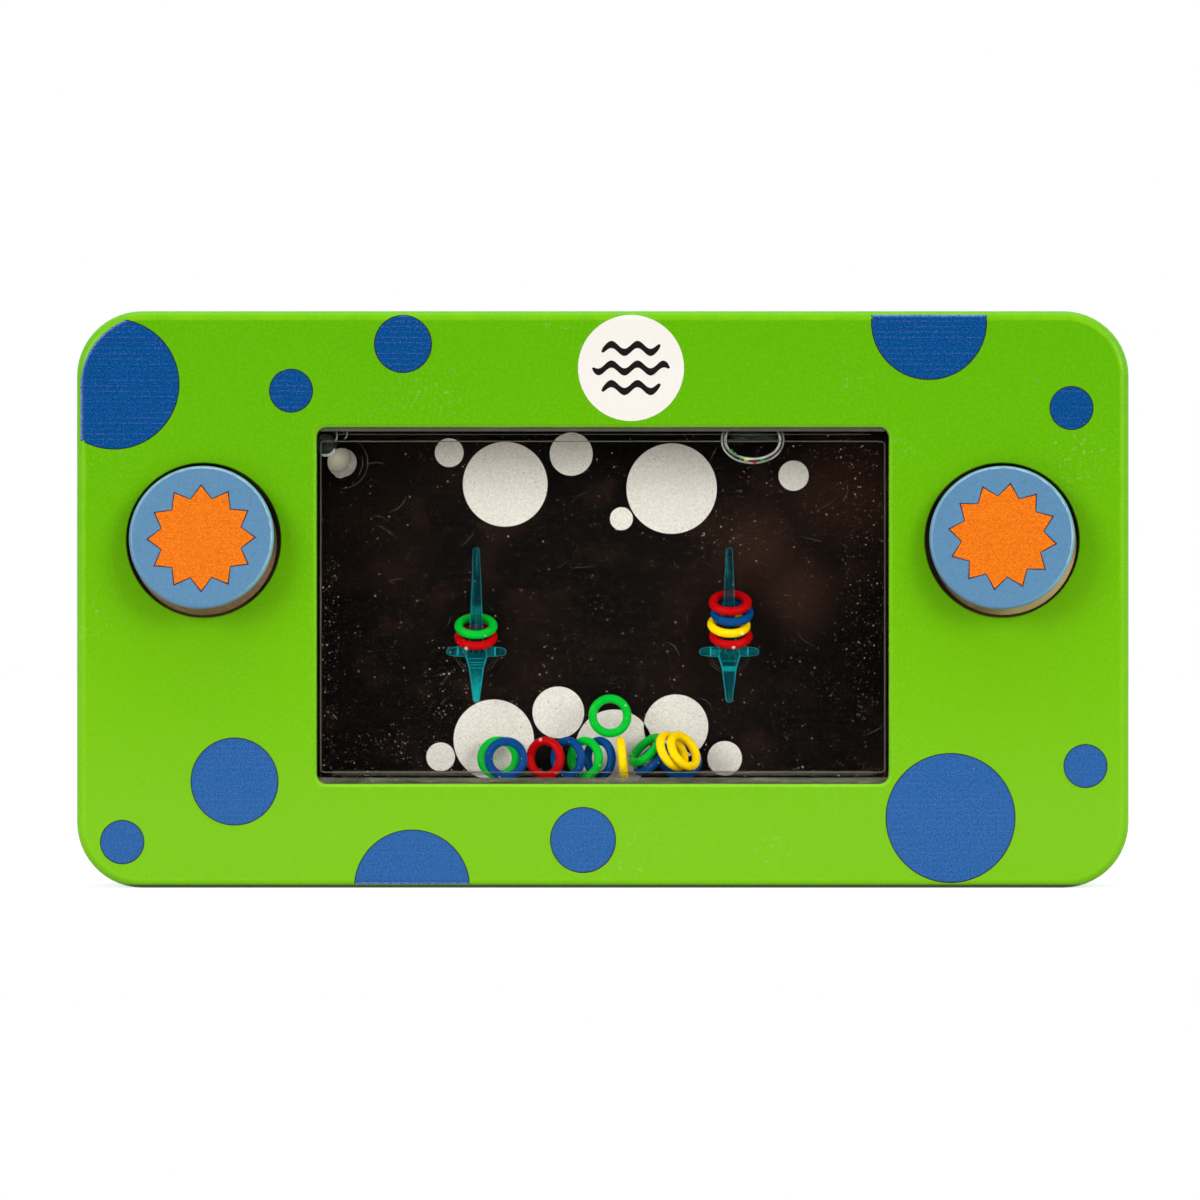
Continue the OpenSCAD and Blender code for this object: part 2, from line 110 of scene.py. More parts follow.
# Painted reflections as bands along the window's top and foot: two edges in mm up from there, and how far
# short of its sides
TOP_BANDS = {"top_gloss": (-0.58, -0.06, 0.2), "top_line": (-1.06, -0.96, 2.6)}
FOOT_BANDS = {"foot_gloss": (0.12, 0.9, 0.3), "foot_haze": (0.95, 1.6, 1.9)}

# Prints lie this far in front of what carries them, and each outline half as far
PRINT_LIFT = 0.03 * MM
OUTLINE_W = 0.15 * MM
INK_LINES = 0.74 * MM

# The prints end this far inside the case's outline, along a line with rounder corners than the case
PRINT_INSET = 0.55 * MM
PRINT_CORNER = 9.9 * MM

# Blue spots on the face: the pixel of the middle and the radius in pixels
SPOTS_PX = [(114, 384, 65), (291, 390.7, 21.5), (403, 344, 28.5), (929, 322, 57.5),
            (1071.5, 408, 21.5), (234.5, 781.5, 43.5), (122.2, 842.1, 21.7), (412, 887.5, 57.5),
            (583, 840, 32.5), (950.5, 818, 64.5), (1085.5, 766, 21.5)]

# The white roundel, and its waves: how far above its middle each lies, and its half length
ROUNDEL_PX = (631, 368, 53)
WAVES = [(-2.7 * MM, 4.1 * MM), (0, 5.4 * MM), (2.7 * MM, 4.1 * MM)]
WAVE_HEIGHT, WAVE_WIDTH, WAVE_PERIOD = 0.55 * MM, 1 * MM, 3.6 * MM

# Bubbles printed on the card, in mm: x, height above the tank's floor, radius
CARD_BUBBLES = [(-15.2, 5.6, 5.6), (-6.2, 9.4, 3.6), (1.6, 4.4, 5.4), (10.2, 7.4, 4.5), (17.0, 3.0, 2.4),
                (-22.6, 3.2, 2.0), (-13.6, 41.2, 5.9), (-4.4, 45.4, 3.0), (9.6, 40.6, 6.3),
                (2.6, 36.4, 1.6), (-21.4, 45.6, 2.0), (26.6, 42.4, 2.1)]

# Brown patches on the card, a painted reflection: the pixel of the middle, and the radius
BROWN_REFLECTION_PX = [(852, 482, 7 * MM), (757, 548, 5 * MM), (800, 592, 4.5 * MM)]

# Air under the tank's ceiling: the pixel of the middle, half the width and height in pixels, half the depth
BUBBLE_PX = (753.8, 437.5, 32, 25.5)
BUBBLE_DEPTH = 3.6 * MM

# Painted reflections of the rings' colours, as flecks in its rim: count and zone of each, in pixels
RIM_REFLECTIONS_PX = {"green": [(6, 732, 449, 737, 453), (8, 740, 455.5, 744, 458.5), (5, 757, 459, 768, 461)],
                 "yellow": [(10, 745.5, 457.5, 751.5, 459.5)], "red": [(6, 752.5, 460.5, 757, 462)]}

# Painted highlights: bright lines in the air at the corner, in pixels, and their radius
CORNER_HIGHLIGHTS_PX = [
    ([(335, 430.5), (336, 434), (335.6, 438), (334, 441.5)], 0.12 * MM),
    ([(333.5, 447.5), (332.4, 450.5), (330, 453.2), (326.5, 454.6), (323, 454.6), (319.6, 453.8)], 0.2 * MM),
    ([(346, 430), (346, 434), (345, 437), (342.5, 438.6)], 0.08 * MM),
    ([(349.5, 429.8), (352, 429.4), (355, 429.9)], 0.1 * MM)]

# A dark mottled sheet in the air at the corner, painted shade and reflection: the pixel of the middle and the
# radius in pixels
CORNER_AIR_PX = (325, 444, 11)

# Dust in the water, and flecks in the paint: count and zone (left, top, right, bottom), in pixels
DUST_PX = [(1500, 322, 432, 884, 770), (180, 321, 560, 336, 770), (120, 330, 735, 480, 782),
           (110, 480, 765, 884, 782), (240, 845, 440, 884, 720), (110, 700, 440, 884, 560),
           (90, 420, 640, 470, 720)]
ORANGE_FLECKS_PX = [(26, 345, 328, 372, 350)]
PALE_FLECKS_PX = [(50, 372, 378, 420, 412), (50, 120, 320, 1080, 420), (70, 100, 640, 1110, 870),
                  (60, 120, 868, 300, 880), (40, 240, 850, 300, 878)]
DUST_SEED, ORANGE_SEED, PALE_SEED, SCRATCH_SEED = 7, 3, 5, 11

# Scratches on the tray's front: their count, and how far they reach to each side, down and up in mm
SCRATCHES = 46
SCRATCHED = (36, 22, 20)

# Starbursts on the buttons, a little off the middle
BURST_POINTS = 12
BURST_OUT = 7.3 * MM
BURST_IN = 5.6 * MM
BURST_SHIFT = {"left": Vector((0, -0.22)) * MM, "right": Vector((0.1, 0.08)) * MM}
BURST_TURN = {"left": math.radians(1), "right": math.radians(-8)}

# Painted shade darkens the side of each disc towards a direction, and painted light makes it paler opposite
# it; the painted highlight on its rim is lit from above
DISC_SHADE_TOWARDS = {"left": Vector((0, 0, 1)), "right": Vector((-0.6, 0, 0.8))}
DISC_LIGHT_SHARE = {"left": 0, "right": 0.75}
DISC_LIT = Vector((0.55, 0, 0.83))

# The rubber bellows behind the buttons
BELLOWS_FOLDS = 3
FOLD_STEPS = 16
FOLD_IN = 1.8 * MM
RUBBER_T = 0.7 * MM

# Colours, linear
GREEN = (0.116, 0.455, 0.001)
# Lighter green for the case's lower part: painted light bouncing up from the floor
GREEN_BOUNCE_LIT = (0.203, 0.56, 0.001)
# Green of the painted highlights along the case's edge and the window's edge
GREEN_HIGHLIGHT = (0.22, 0.6, 0.003)
SPOT_BLUE = (0.001, 0.095, 0.35)
# Lighter blue for the spots at the case's foot: painted light from the floor
SPOT_BLUE_BOUNCE_LIT = (0.024, 0.155, 0.485)
# Painted highlight where a spot bends over the case's edge
SPOT_HIGHLIGHT = (0.26, 0.31, 0.7)
FACE_BLUE = (0.105, 0.25, 0.42)
ORANGE = (0.97, 0.205, 0.008)
RAW_WOOD = (0.36, 0.165, 0.105)
PRINT_WHITE = (0.93, 0.895, 0.83)
CARD_WHITE = (0.80, 0.74, 0.67)
CARD_BLACK = (0.0048, 0.0038, 0.003)
CARD_BROWN = (0.026, 0.0115, 0.0075)
# Turquoise of the painted highlights on the pegs
PEG_HIGHLIGHT = (0.02, 0.46, 0.50)
RING_COLOURS = {"red": (0.46, 0.001, 0.002), "green": (0.001, 0.44, 0.024),
                "blue": (0.001, 0.05, 0.2), "yellow": (0.93, 0.62, 0.001)}

# Tones of the pegs' see-through plastic at heights in mm from the crossbar, painted light and shade with
# painted highlight bands, and the heights of painted highlight lines across the cone
PEG_TONES = {
    "left": [(-7.1, (0.02, 0.46, 0.44)), (-5.4, (0, 0.40, 0.38)), (-4.2, (0, 0.27, 0.28)),
             (-3.0, (0, 0.12, 0.14)), (-1.2, (0, 0.09, 0.11)), (0, (0, 0.045, 0.06)),
             (4.9, (0, 0.03, 0.04)), (5.5, (0, 0.16, 0.155)), (6.1, (0, 0.14, 0.14)),
             (6.6, (0, 0.03, 0.04)), (14.4, (0, 0.02, 0.03))],
    "right": [(-7.1, (0.02, 0.13, 0.14)), (-6.0, (0, 0.07, 0.085)), (-2.8, (0, 0.05, 0.07)),
              (-2.62, (0, 0.36, 0.37)), (-2.1, (0, 0.36, 0.37)), (-1.92, (0, 0.045, 0.055)),
              (0, (0, 0.09, 0.1)), (1, (0, 0.03, 0.04)), (14.4, (0, 0.02, 0.03))]}
CONE_HIGHLIGHTS = {"left": (-0.96, -1.48, -1.83, -2.26), "right": (-1.3,)}

# Rough nubs that the mould's gates leave on some rings, and small bright white dots on others: radius, and
# angle in degrees as seen from the front
NUB_R, WHITE_DOT_R = 0.27 * MM, 0.09 * MM
RING_NUBS = {"left_peg_ring_1_red": -115, "right_peg_ring_2_yellow": -50, "right_peg_ring_1_red": -82,
             "floor_ring_08_yellow": -90, "floor_ring_03_red": 105}
WHITE_DOTS = {"floor_ring_03_red": -50, "floor_ring_05_green": -20, "floor_ring_07_green": 35,
                "floor_ring_02_blue": -112, "floor_ring_09_green": -70, "floor_ring_12_yellow": -35,
                "left_peg_ring_2_green": -60}

# Lamps: place, what they aim at, width and height, watts
LAMPS = {"left_lamp": ((-0.85, -1.05, 0.45), (0, 0, 0.04), (0.6, 0.6), 7.6),
         "right_lamp": ((0.85, -1.05, 0.45), (0, 0, 0.04), (0.6, 0.6), 7.6),
         "top_lamp": ((0, -0.2, 1.1), (0, 0, 0.04), (0.9, 0.6), 3),
         "low_lamp": ((0, FACE_Y - 0.11, 6 * MM), (0, 0, 0.03), (0.3, 0.011), 0.02)}
LOW_LAMP_COLOUR = (1, 0.94, 0.86)

# The floor: how far it reaches to the sides and back, and to the front, and how bright the camera sees it
FLOOR_REACH, FLOOR_FRONT = 3.0, 0.3
FLOOR_GLOW = 0.72


def toned(colour, share):
    return tuple(min(1, c * share) for c in colour)


class Nodes:
    """A tree of nodes, built call by call."""

    def __init__(self, tree):
        self.tree = tree

    def add(self, kind, **settings):
        node = self.tree.nodes.new(kind)
        for key, value in settings.items():
            setattr(node, key, value)
        return node

    def join(self, source, target):
        self.tree.links.new(source, target)

    def feed(self, value, socket):
        """Puts a number, a colour or another node's result into a socket."""
        if isinstance(value, tuple):
            socket.default_value = (*value, 1)
        elif isinstance(value, (int, float)):
            socket.default_value = value
        else:
            self.join(value, socket)

    def math(self, operation, *values):
        node = self.add("ShaderNodeMath", operation=operation)
        for value, socket in zip(values, node.inputs):
            self.feed(value, socket)
        return node.outputs["Value"]

    def times(self, *values):
        return reduce(lambda a, b: self.math("MULTIPLY", a, b), values)

    def most(self, *values):
        return reduce(lambda a, b: self.math("MAXIMUM", a, b), values)

    plus = partialmethod(math, "ADD")
    less = partialmethod(math, "SUBTRACT")
    rest = partialmethod(math, "SUBTRACT", 1)
    size = partialmethod(math, "ABSOLUTE")

    def span(self, first, second):
        """How far apart two places are whose distances along two directions are given."""
        return self.math("SQRT", self.plus(self.times(first, first), self.times(second, second)))

    def above(self, value, limit, soft, low=0):
        """low below limit, 1 above it, with a soft step between them."""
        node = self.add("ShaderNodeMapRange", interpolation_type="SMOOTHSTEP")
        for key, number in (("From Min", limit - soft), ("From Max", limit + soft), ("To Min", low)):
            node.inputs[key].default_value = number
        self.join(value, node.inputs["Value"])
        return node.outputs["Result"]

    def below(self, value, limit, soft):
        """1 below limit, 0 above it."""
        return self.rest(self.above(value, limit, soft))


class Shader(Nodes):
    """A material, with some of its sockets set."""

    def __init__(self, name, **sockets):
        self.material = bpy.data.materials.new(name)
        self.material.use_nodes = True
        super().__init__(self.material.node_tree)
        self.bsdf = self.tree.nodes["Principled BSDF"]
        self.place = self.add("ShaderNodeTexCoord").outputs["Object"]
        self.set(**sockets)

    def set(self, **sockets):
        for key, value in sockets.items():
            self.feed(value, self.bsdf.inputs[key.replace("_", " ")])

    def surface(self, source):
        self.join(source, self.tree.nodes["Material Output"].inputs["Surface"])

    def noise(self, scale, detail, stretch=(1, 1, 1)):
        """Noise with features about 1/scale metres wide, drawn out by stretch."""
        place = self.add("ShaderNodeMapping")
        place.inputs["Scale"].default_value = stretch
        self.join(self.place, place.inputs["Vector"])
        node = self.add("ShaderNodeTexNoise")
        node.inputs["Scale"].default_value = scale
        node.inputs["Detail"].default_value = detail
        self.join(place.outputs["Vector"], node.inputs["Vector"])
        return node.outputs["Fac"]

    def ramp(self, factor, *stops):
        """A colour ramp: stops are (position, value or colour)."""
        node = self.add("ShaderNodeValToRGB")
        elements = node.color_ramp.elements
        while len(elements) < len(stops):
            elements.new(1)
        for element, (position, value) in zip(elements, stops):
            element.position = position
            element.color = (*(value if isinstance(value, tuple) else (value, value, value)), 1)
        self.join(factor, node.inputs["Fac"])
        return node.outputs["Color"]

    def mottle(self, scale, detail, *stops, stretch=(1, 1, 1)):
        """A colour ramp over noise."""
        return self.ramp(self.noise(scale, detail, stretch), *stops)

    def blend(self, factor, first, second, mode="MIX"):
        node = self.add("ShaderNodeMix", data_type="RGBA", blend_type=mode)
        for value, socket in ((factor, node.inputs[0]), (first, node.inputs[6]), (second, node.inputs[7])):
            self.feed(value, socket)
        return node.outputs[2]

    def measure(self, operation, vector):
        node = self.add("ShaderNodeVectorMath", operation=operation)
        node.inputs[1].default_value = vector
        self.join(self.place, node.inputs[0])
        return node.outputs["Value"]

    def along(self, direction, start=0):
        """How far the place lies along a direction, from a start on it."""
        reach = self.measure("DOT_PRODUCT", direction)
        return self.less(reach, start) if start else reach

    def away(self, middle):
        """How far the place lies from a point."""
        return self.measure("DISTANCE", middle)

    def off_button(self):
        """How far the place lies from the axis of the nearer button."""
        return self.span(self.less(self.size(self.along(X)), BUTTON.x), self.along(Z, BUTTON.z))

    def past_core(self, middle_z, half_x, half_z, corner):
        """How far the place lies out from the core of an upright rectangle with round corners."""
        past_x = self.less(self.size(self.along(X)), half_x - corner)
        past_z = self.less(self.size(self.along(Z, middle_z)), half_z - corner)
        return self.span(self.most(past_x, 0), self.most(past_z, 0))

    def facing(self):
        """0 where the surface faces the onlooker, 1 at its rim."""
        node = self.add("ShaderNodeLayerWeight")
        node.inputs["Blend"].default_value = 0.5
        return node.outputs["Facing"]

    def colour(self, source):
        self.set(Base_Color=source)

    def rough(self, source):
        self.set(Roughness=source)

    def bump(self, height, distance, strength):
        node = self.add("ShaderNodeBump")
        node.inputs["Distance"].default_value = distance
        node.inputs["Strength"].default_value = strength
        self.join(height, node.inputs["Height"])
        self.join(node.outputs["Normal"], self.bsdf.inputs["Normal"])

    def clear(self, share):
        """Lets this share of the light straight through."""
        mix = self.add("ShaderNodeMixShader")
        self.join(share, mix.inputs["Fac"])
        self.join(self.bsdf.outputs["BSDF"], mix.inputs[1])
        self.join(self.add("ShaderNodeBsdfTransparent").outputs["BSDF"], mix.inputs[2])
        self.surface(mix.outputs["Shader"])


def case_paint(name, inside):
    """Satin green paint, lighter towards the foot as painted light from the floor, with a painted highlight
    along its edge and a painted contact shadow at the foot; bare board inside, between two depths.
    """
    s = Shader(name, IOR=1.27)
    depth, z = s.along(Y), s.along(Z)
    grain = s.noise(2600, 2)
    # The lower part is lighter: painted light from the floor.
    height = s.plus(z, s.times(s.noise(45, 3), 20 * MM))
    green = s.blend(s.above(height, CASE_MID_Z + 10 * MM, 45 * MM), GREEN_BOUNCE_LIT, GREEN)
    green = s.blend(s.ramp(grain, (0.35, 0), (0.75, 0.22)), green, (0.19, 0.56, 0.01))
    rubbed = s.times(s.mottle(60, 4, (0.56, 0), (0.7, 1)), s.mottle(1500, 6, (0.6, 0), (0.68, 0.35)))
    green = s.blend(rubbed, green, (0.42, 0.62, 0.2))
    # thin: a painted highlight along the inner part of the case's rounded edge, weaker at its outer part.
    out = s.past_core(CASE_MID_Z, CASE_HIGH.x, CASE_MID_Z, CASE_CORNER)
    thin = s.times(s.above(out, CASE_CORNER - 1.3 * MM, 0.12 * MM),
                   s.rest(s.times(0.45, s.above(out, CASE_CORNER - 0.8 * MM, 0.25 * MM))),
                   s.mottle(300, 3, (0.3, 0.4), (0.7, 0.9)))
    green = s.blend(thin, green, GREEN_HIGHLIGHT)
    # foot: a painted contact shadow along the bottom edge, at the front and back.
    foot = s.times(s.below(z, 0.46 * MM, 0.2 * MM), s.above(s.size(depth), -FACE_Y - EDGE_R, 0.1 * MM))
    green = s.blend(s.times(foot, 0.9), green, (0.012, 0.014, 0.004))
    green = cut_edges(s, depth, green)
    sharp = 0.01 * MM
    wall = s.most(s.above(s.size(s.along(X)), CASE_HIGH.x - WALL_T, sharp),
                  s.above(s.size(s.along(Z, CASE_MID_Z)), CASE_MID_Z - WALL_T, sharp))
    between = s.less(s.above(depth, inside[0], sharp), s.above(depth, inside[1], sharp))
    bare = s.times(between, s.rest(wall))
    fibres = s.mottle(900, 5, (0.3, toned(RAW_WOOD, 0.7)), (0.7, RAW_WOOD), stretch=(1, 4, 1))
    s.colour(s.blend(bare, green, fibres))
    s.rough(s.blend(bare, s.ramp(grain, (0.3, 0.22), (0.7, 0.3)), (0.85, 0.85, 0.85)))
    peel = s.plus(s.noise(1100, 3), s.times(s.noise(3200, 2), 0.35))
    s.bump(peel, 0.035 * MM, 0.5)
    return s.material


def cut_edges(s, depth, green):
    """The front's green, with a painted highlight along the window's edge and painted shade, near black, on
    the walls of the button holes.
    """
    front = s.times(0.8, s.below(depth, FACE_Y + FACE_T, 0.1 * MM))
    out = s.past_core(WINDOW_MID_Z, *WINDOW_HALF, WINDOW_R)
    # A painted highlight along the window's edge.
    bevel_highlight = s.below(out, WINDOW_R + 0.38 * MM, 0.08 * MM)
    green = s.blend(s.times(front, bevel_highlight), green, GREEN_HIGHLIGHT)
    # Painted shade, near black, on the walls of the button holes.
    hole_shade = s.below(s.off_button(), HOLE_R + 0.05 * MM, 0.03 * MM)
    return s.blend(s.times(hole_shade, front), green, (0.004, 0.005, 0.003))


def board_disc(side, outward, reach, middle, radius):
    """A button: blue paint on its face, with painted highlights on its rim and on the rounding beyond it,
    from above; bare board round its side, with painted light on one part and painted shade on another.
    """
    s = Shader(f"{side}_button_paint", IOR=1.4)
    out, lit = s.away(middle), s.along(DISC_LIT, DISC_LIT.dot(middle))
    beyond = s.above(out, radius + 0.14 * MM, 0.04 * MM)
    # A painted highlight round the face's rim, on its upper side.
    rim = s.times(s.above(out, radius, 0.04 * MM), s.rest(beyond), s.above(lit, 0, radius * 0.9),
                  s.mottle(900, 3, (0.35, 0.2), (0.6, 0.8)))
    speck = s.noise(3400, 3)
    blue = s.blend(s.ramp(speck, (0.32, 0.5), (0.5, 0)), FACE_BLUE, (0.07, 0.17, 0.33))
    blue = s.blend(s.ramp(speck, (0.6, 0), (0.78, 0.4)), blue, (0.2, 0.38, 0.56))
    blue = s.blend(rim, blue, (0.55, 0.72, 0.78))
    # A teal painted highlight on the rounding beyond the rim, on its upper side.
    teal_highlight = s.times(beyond, 0.85, s.above(lit, -0.3 * radius, 0.5 * radius))
    blue = s.blend(teal_highlight, blue, (0.17, 0.44, 0.46))
    fibres = s.mottle(1300, 6, (0.3, toned(RAW_WOOD, 0.45)), (0.75, RAW_WOOD), stretch=(0.5, 0.5, 2.6))
    # The bare side gets painted light on its part away from a direction and painted shade on its part towards
    # it.
    dark = s.along(DISC_SHADE_TOWARDS[side], DISC_SHADE_TOWARDS[side].dot(middle))
    pale = s.below(dark, -0.85 * radius, 0.15 * radius)
    fibres = s.blend(s.times(pale, DISC_LIGHT_SHARE[side]), fibres, (0.8, 0.48, 0.27))
    side_shade = s.above(dark, -0.25 * radius, 0.3 * radius)
    fibres = s.blend(s.times(side_shade, 0.85), fibres, (0.02, 0.013, 0.009))
    painted = s.above(s.along(outward), reach - 0.5 * MM, 0.04 * MM)
    s.colour(s.blend(painted, fibres, blue))
    s.rough(s.blend(painted, (0.8, 0.8, 0.8), (0.3, 0.3, 0.3)))
    s.bump(s.plus(speck, s.noise(1000, 2)), 0.03 * MM, 0.4)
    return s.material


def ink(name, colour, dashes, banding=0.35, rough=0.28, low=None, painted_gleam=None):
    """Printed ink: fine sideways lines, some of them broken into dashes of a second colour.

    low is its tone at the case's foot, lighter there as painted light from the floor; the last colour is a
    painted highlight's tone where the print bends over the case's edge.
    """
    s = Shader(name, IOR=1.24, Roughness=rough)
    line = s.add("ShaderNodeTexWave", bands_direction="Z", wave_profile="SIN")
    line.inputs["Scale"].default_value = math.pi / 10 / INK_LINES
    line.inputs["Distortion"].default_value = 0.4
    s.join(s.place, line.inputs["Vector"])
    dots = s.noise(3900, 2, (1, 1, 1.3))
    # The tone is lighter towards the case's foot: painted light from the floor.
    tone = s.blend(s.above(s.along(Z), CASE_MID_Z, 24 * MM), low or colour, colour)
    tone = s.blend(1, tone, s.ramp(dots, (0.35, 1 - 0.8 * banding), (0.65, 1)), "MULTIPLY")
    tone = s.blend(s.ramp(dots, (0.6, 0), (0.75, 0.5 * banding)), tone, toned(colour, 1.9))
    rows = s.times(s.ramp(line.outputs["Fac"], (0.86, 0), (0.98, 1)),
                   s.mottle(3600, 3, (0.46, 0), (0.58, 1), stretch=(0.7, 1, 2.0)),
                   s.mottle(1300, 1, (0.4, 0.2), (0.6, 1), stretch=(0.08, 1, 1)))
    grit = s.times(s.ramp(dots, (0.58, 0), (0.7, 1)), 0.5)
    tone = s.blend(s.times(s.most(rows, grit), banding), tone, dashes)
    # A painted highlight where the print bends over the case's edge.
    if painted_gleam:
        out = s.past_core(CASE_MID_Z, CASE_HIGH.x - PRINT_INSET, CASE_MID_Z - PRINT_INSET, PRINT_CORNER)
        bent = s.above(out, PRINT_CORNER - 0.22 * MM, 0.14 * MM)
        tone = s.blend(s.times(bent, s.ramp(dots, (0.35, 0.2), (0.6, 0.75))), tone, painted_gleam)
    s.colour(tone)
    s.bump(dots, 0.01 * MM, 0.3)
    return s.material


def plain(name, colour, rough, grain=900, spread=0.12, bump=0.02 * MM):
    """A moulded or cut material with a slight change of tone and a fine surface."""
    s = Shader(name)
    tone = s.noise(grain, 4)
    s.colour(s.ramp(tone, (0.3, toned(colour, 1 - spread)), (0.7, colour)))
    s.rough(s.ramp(tone, (0.3, rough * 0.9), (0.7, rough * 1.1)))
    s.bump(tone, bump, 0.4)
    return s.material


def retainer_plastic():
    """Pale plastic, with brown dust of the board on the flange where it shows in the gap round a button,
    darker over its upper half as painted shade in the gap.
    """
    s = Shader("retainer_plastic")
    grain = s.noise(900, 4)
    pale = s.ramp(grain, (0.3, (0.55, 0.55, 0.51)), (0.7, (0.62, 0.62, 0.58)))
    dust = s.ramp(grain, (0.3, (0.2, 0.09, 0.055)), (0.7, RAW_WOOD))
    # Darker over the upper half: painted shade in the gap.
    dust = s.blend(s.above(s.along(Z, BUTTON.z), 0, 6 * MM), dust, (0.04, 0.022, 0.014))
    s.colour(s.blend(s.above(s.off_button(), HOLE_R - 1.2 * MM, 0.3 * MM), pale, dust))
    s.rough(s.ramp(grain, (0.3, 0.4), (0.7, 0.6)))
    s.bump(grain, 0.02 * MM, 0.4)
    return s.material


def clear_plastic(name, ior):
    """Clear plastic with the faint waves of its mould. Its index is lower the more of it the water wets.

    Shadow rays pass, so that lamps light what lies behind it.
    """
    s = Shader(name, IOR=ior, Transmission_Weight=1)
    s.colour(s.mottle(70, 1, (0.3, (0.97, 0.985, 0.98)), (0.7, (0.99, 0.995, 0.99))))
    s.rough(s.mottle(500, 3, (0.4, 0.02), (0.8, 0.04)))
    s.bump(s.noise(160, 1), 0.01 * MM, 0.25)
    s.clear(s.add("ShaderNodeLightPath").outputs["Is Shadow Ray"])
    return s.material


def peg_plastic(side):
    """Turquoise see-through plastic, its tone set by height as painted light and shade, with painted
    highlights at its edges and in bands on its bar and cone.
    """
    low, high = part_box(f"{side}_peg")
    tall = high.z - low.z
    s = Shader(f"{side}_peg_plastic", IOR=1.1, Roughness=0.12, Transmission_Weight=0.25)
    across, up = s.size(s.along(X, (low.x + high.x) / 2)), s.along(Z, low.z + PEG_BAR_UP)
    # The tones by height are painted light and shade, with painted highlight bands.
    tones = s.ramp(s.times(s.plus(up, PEG_BAR_UP), 1 / tall),
                   *(((height * MM + PEG_BAR_UP) / tall, tone) for height, tone in PEG_TONES[side]))

    def line(value, at, half, strength):
        return s.times(strength, s.below(s.size(s.less(value, at * MM)), half * MM, 0.04 * MM))

    # Painted highlights: bands on the bar, lines across the cone, streaks and the rim.
    block = s.times(line(across, 2.0, 0.5, 0.35), s.mottle(1600, 2, (0.35, 0.3), (0.65, 1)))
    upright = s.most(block, line(across, 2.58, 0.1, 0.9), line(across, 1.42, 0.08, 0.6))
    bar_highlights = s.times(s.below(s.size(up), 0.8 * MM, 0.1 * MM), upright)
    cone_highlights = [line(up, height, 0.05, 0.5) for height in CONE_HIGHLIGHTS[side]]
    highlight_streak = s.mottle(2400, 2, (0.55, 0), (0.7, 0.25), stretch=(1, 0.1, 0.06))
    rim = s.times(s.ramp(s.facing(), (0.36, 0), (0.56, 0.8), (0.85, 1)),
                  s.rest(s.times(0.45, s.above(up, 2 * MM, 1 * MM))))
    lit = s.most(bar_highlights, *cone_highlights, highlight_streak, rim)
    s.colour(s.blend(lit, tones, PEG_HIGHLIGHT))
    s.set(Alpha=s.plus(0.64, s.times(lit, 0.32)))
    s.bump(s.noise(900, 2), 0.02 * MM, 0.3)
    return s.material


def ring_plastic(name, colour):
    """Soft satin plastic that lets a little light through."""
    s = Shader(f"ring_{name}", IOR=1.14, Subsurface_Weight=0.05, Subsurface_Scale=0.001)
    tone = s.noise(1400, 3)
    s.colour(s.ramp(tone, (0.3, toned(colour, 0.9)), (0.65, colour)))
    s.rough(s.ramp(tone, (0.3, 0.16), (0.7, 0.24)))
    s.bump(s.noise(500, 2), 0.02 * MM, 0.3)
    return s.material


def card_ink():
    """Black print with faint brown bands and broad brown clouds, and brown patches that are a painted
    reflection.
    """
    s = Shader("card_ink", IOR=1.2, Specular_IOR_Level=0.1)
    bands = s.noise(800, 4, (0.25, 1, 5))
    black = s.ramp(bands, (0.3, toned(CARD_BLACK, 0.6)), (0.8, toned(CARD_BLACK, 1.3)))
    clouds = [s.mottle(28, 3, (0.48, 0), (0.72, 0.8)), s.mottle(170, 4, (0.52, 0), (0.75, 0.6))]
    # Brown patches at these places: a painted reflection.
    for px, py, radius in BROWN_REFLECTION_PX:
        spot = face_place(px, py)
        clouds.append(s.below(s.away((spot.x, CARD_LOW.y, spot.y)), radius, radius))
    s.colour(s.blend(s.most(*clouds), black, CARD_BROWN))
    s.rough(s.ramp(bands, (0.3, 0.3), (0.7, 0.38)))
    return s.material


def see_through(name, colour, alpha):
    """A thin film or line that lets part of what is behind it through."""
    s = Shader(name, Alpha=alpha, Roughness=0.3)
    s.colour(s.mottle(700, 2, (0.3, toned(colour, 0.8)), (0.7, colour)))
    return s.material


def floor_reflection_film():
    """The strip below the tank's floor: a painted reflection of the rings and the card, drawn out."""
    s = Shader("foot_gloss")
    s.set(Roughness=0.2, Alpha=s.mottle(260, 3, (0.3, 0.35), (0.6, 0.75), stretch=(1, 1, 0.2)))
    s.colour(s.mottle(1500, 2, (0.3, (0.07, 0.065, 0.045)), (0.7, (0.2, 0.19, 0.14)), stretch=(0.3, 1, 2)))
    return s.material


# A dark mottled film for the air at the corner: painted shade and reflection.
def painted_air_shade():
    s = Shader("corner_air", Alpha=0.6, Roughness=0.2)
    s.colour(s.mottle(1500, 3, (0.4, (0.006, 0.008, 0.005)), (0.7, (0.1, 0.11, 0.09))))
    return s.material


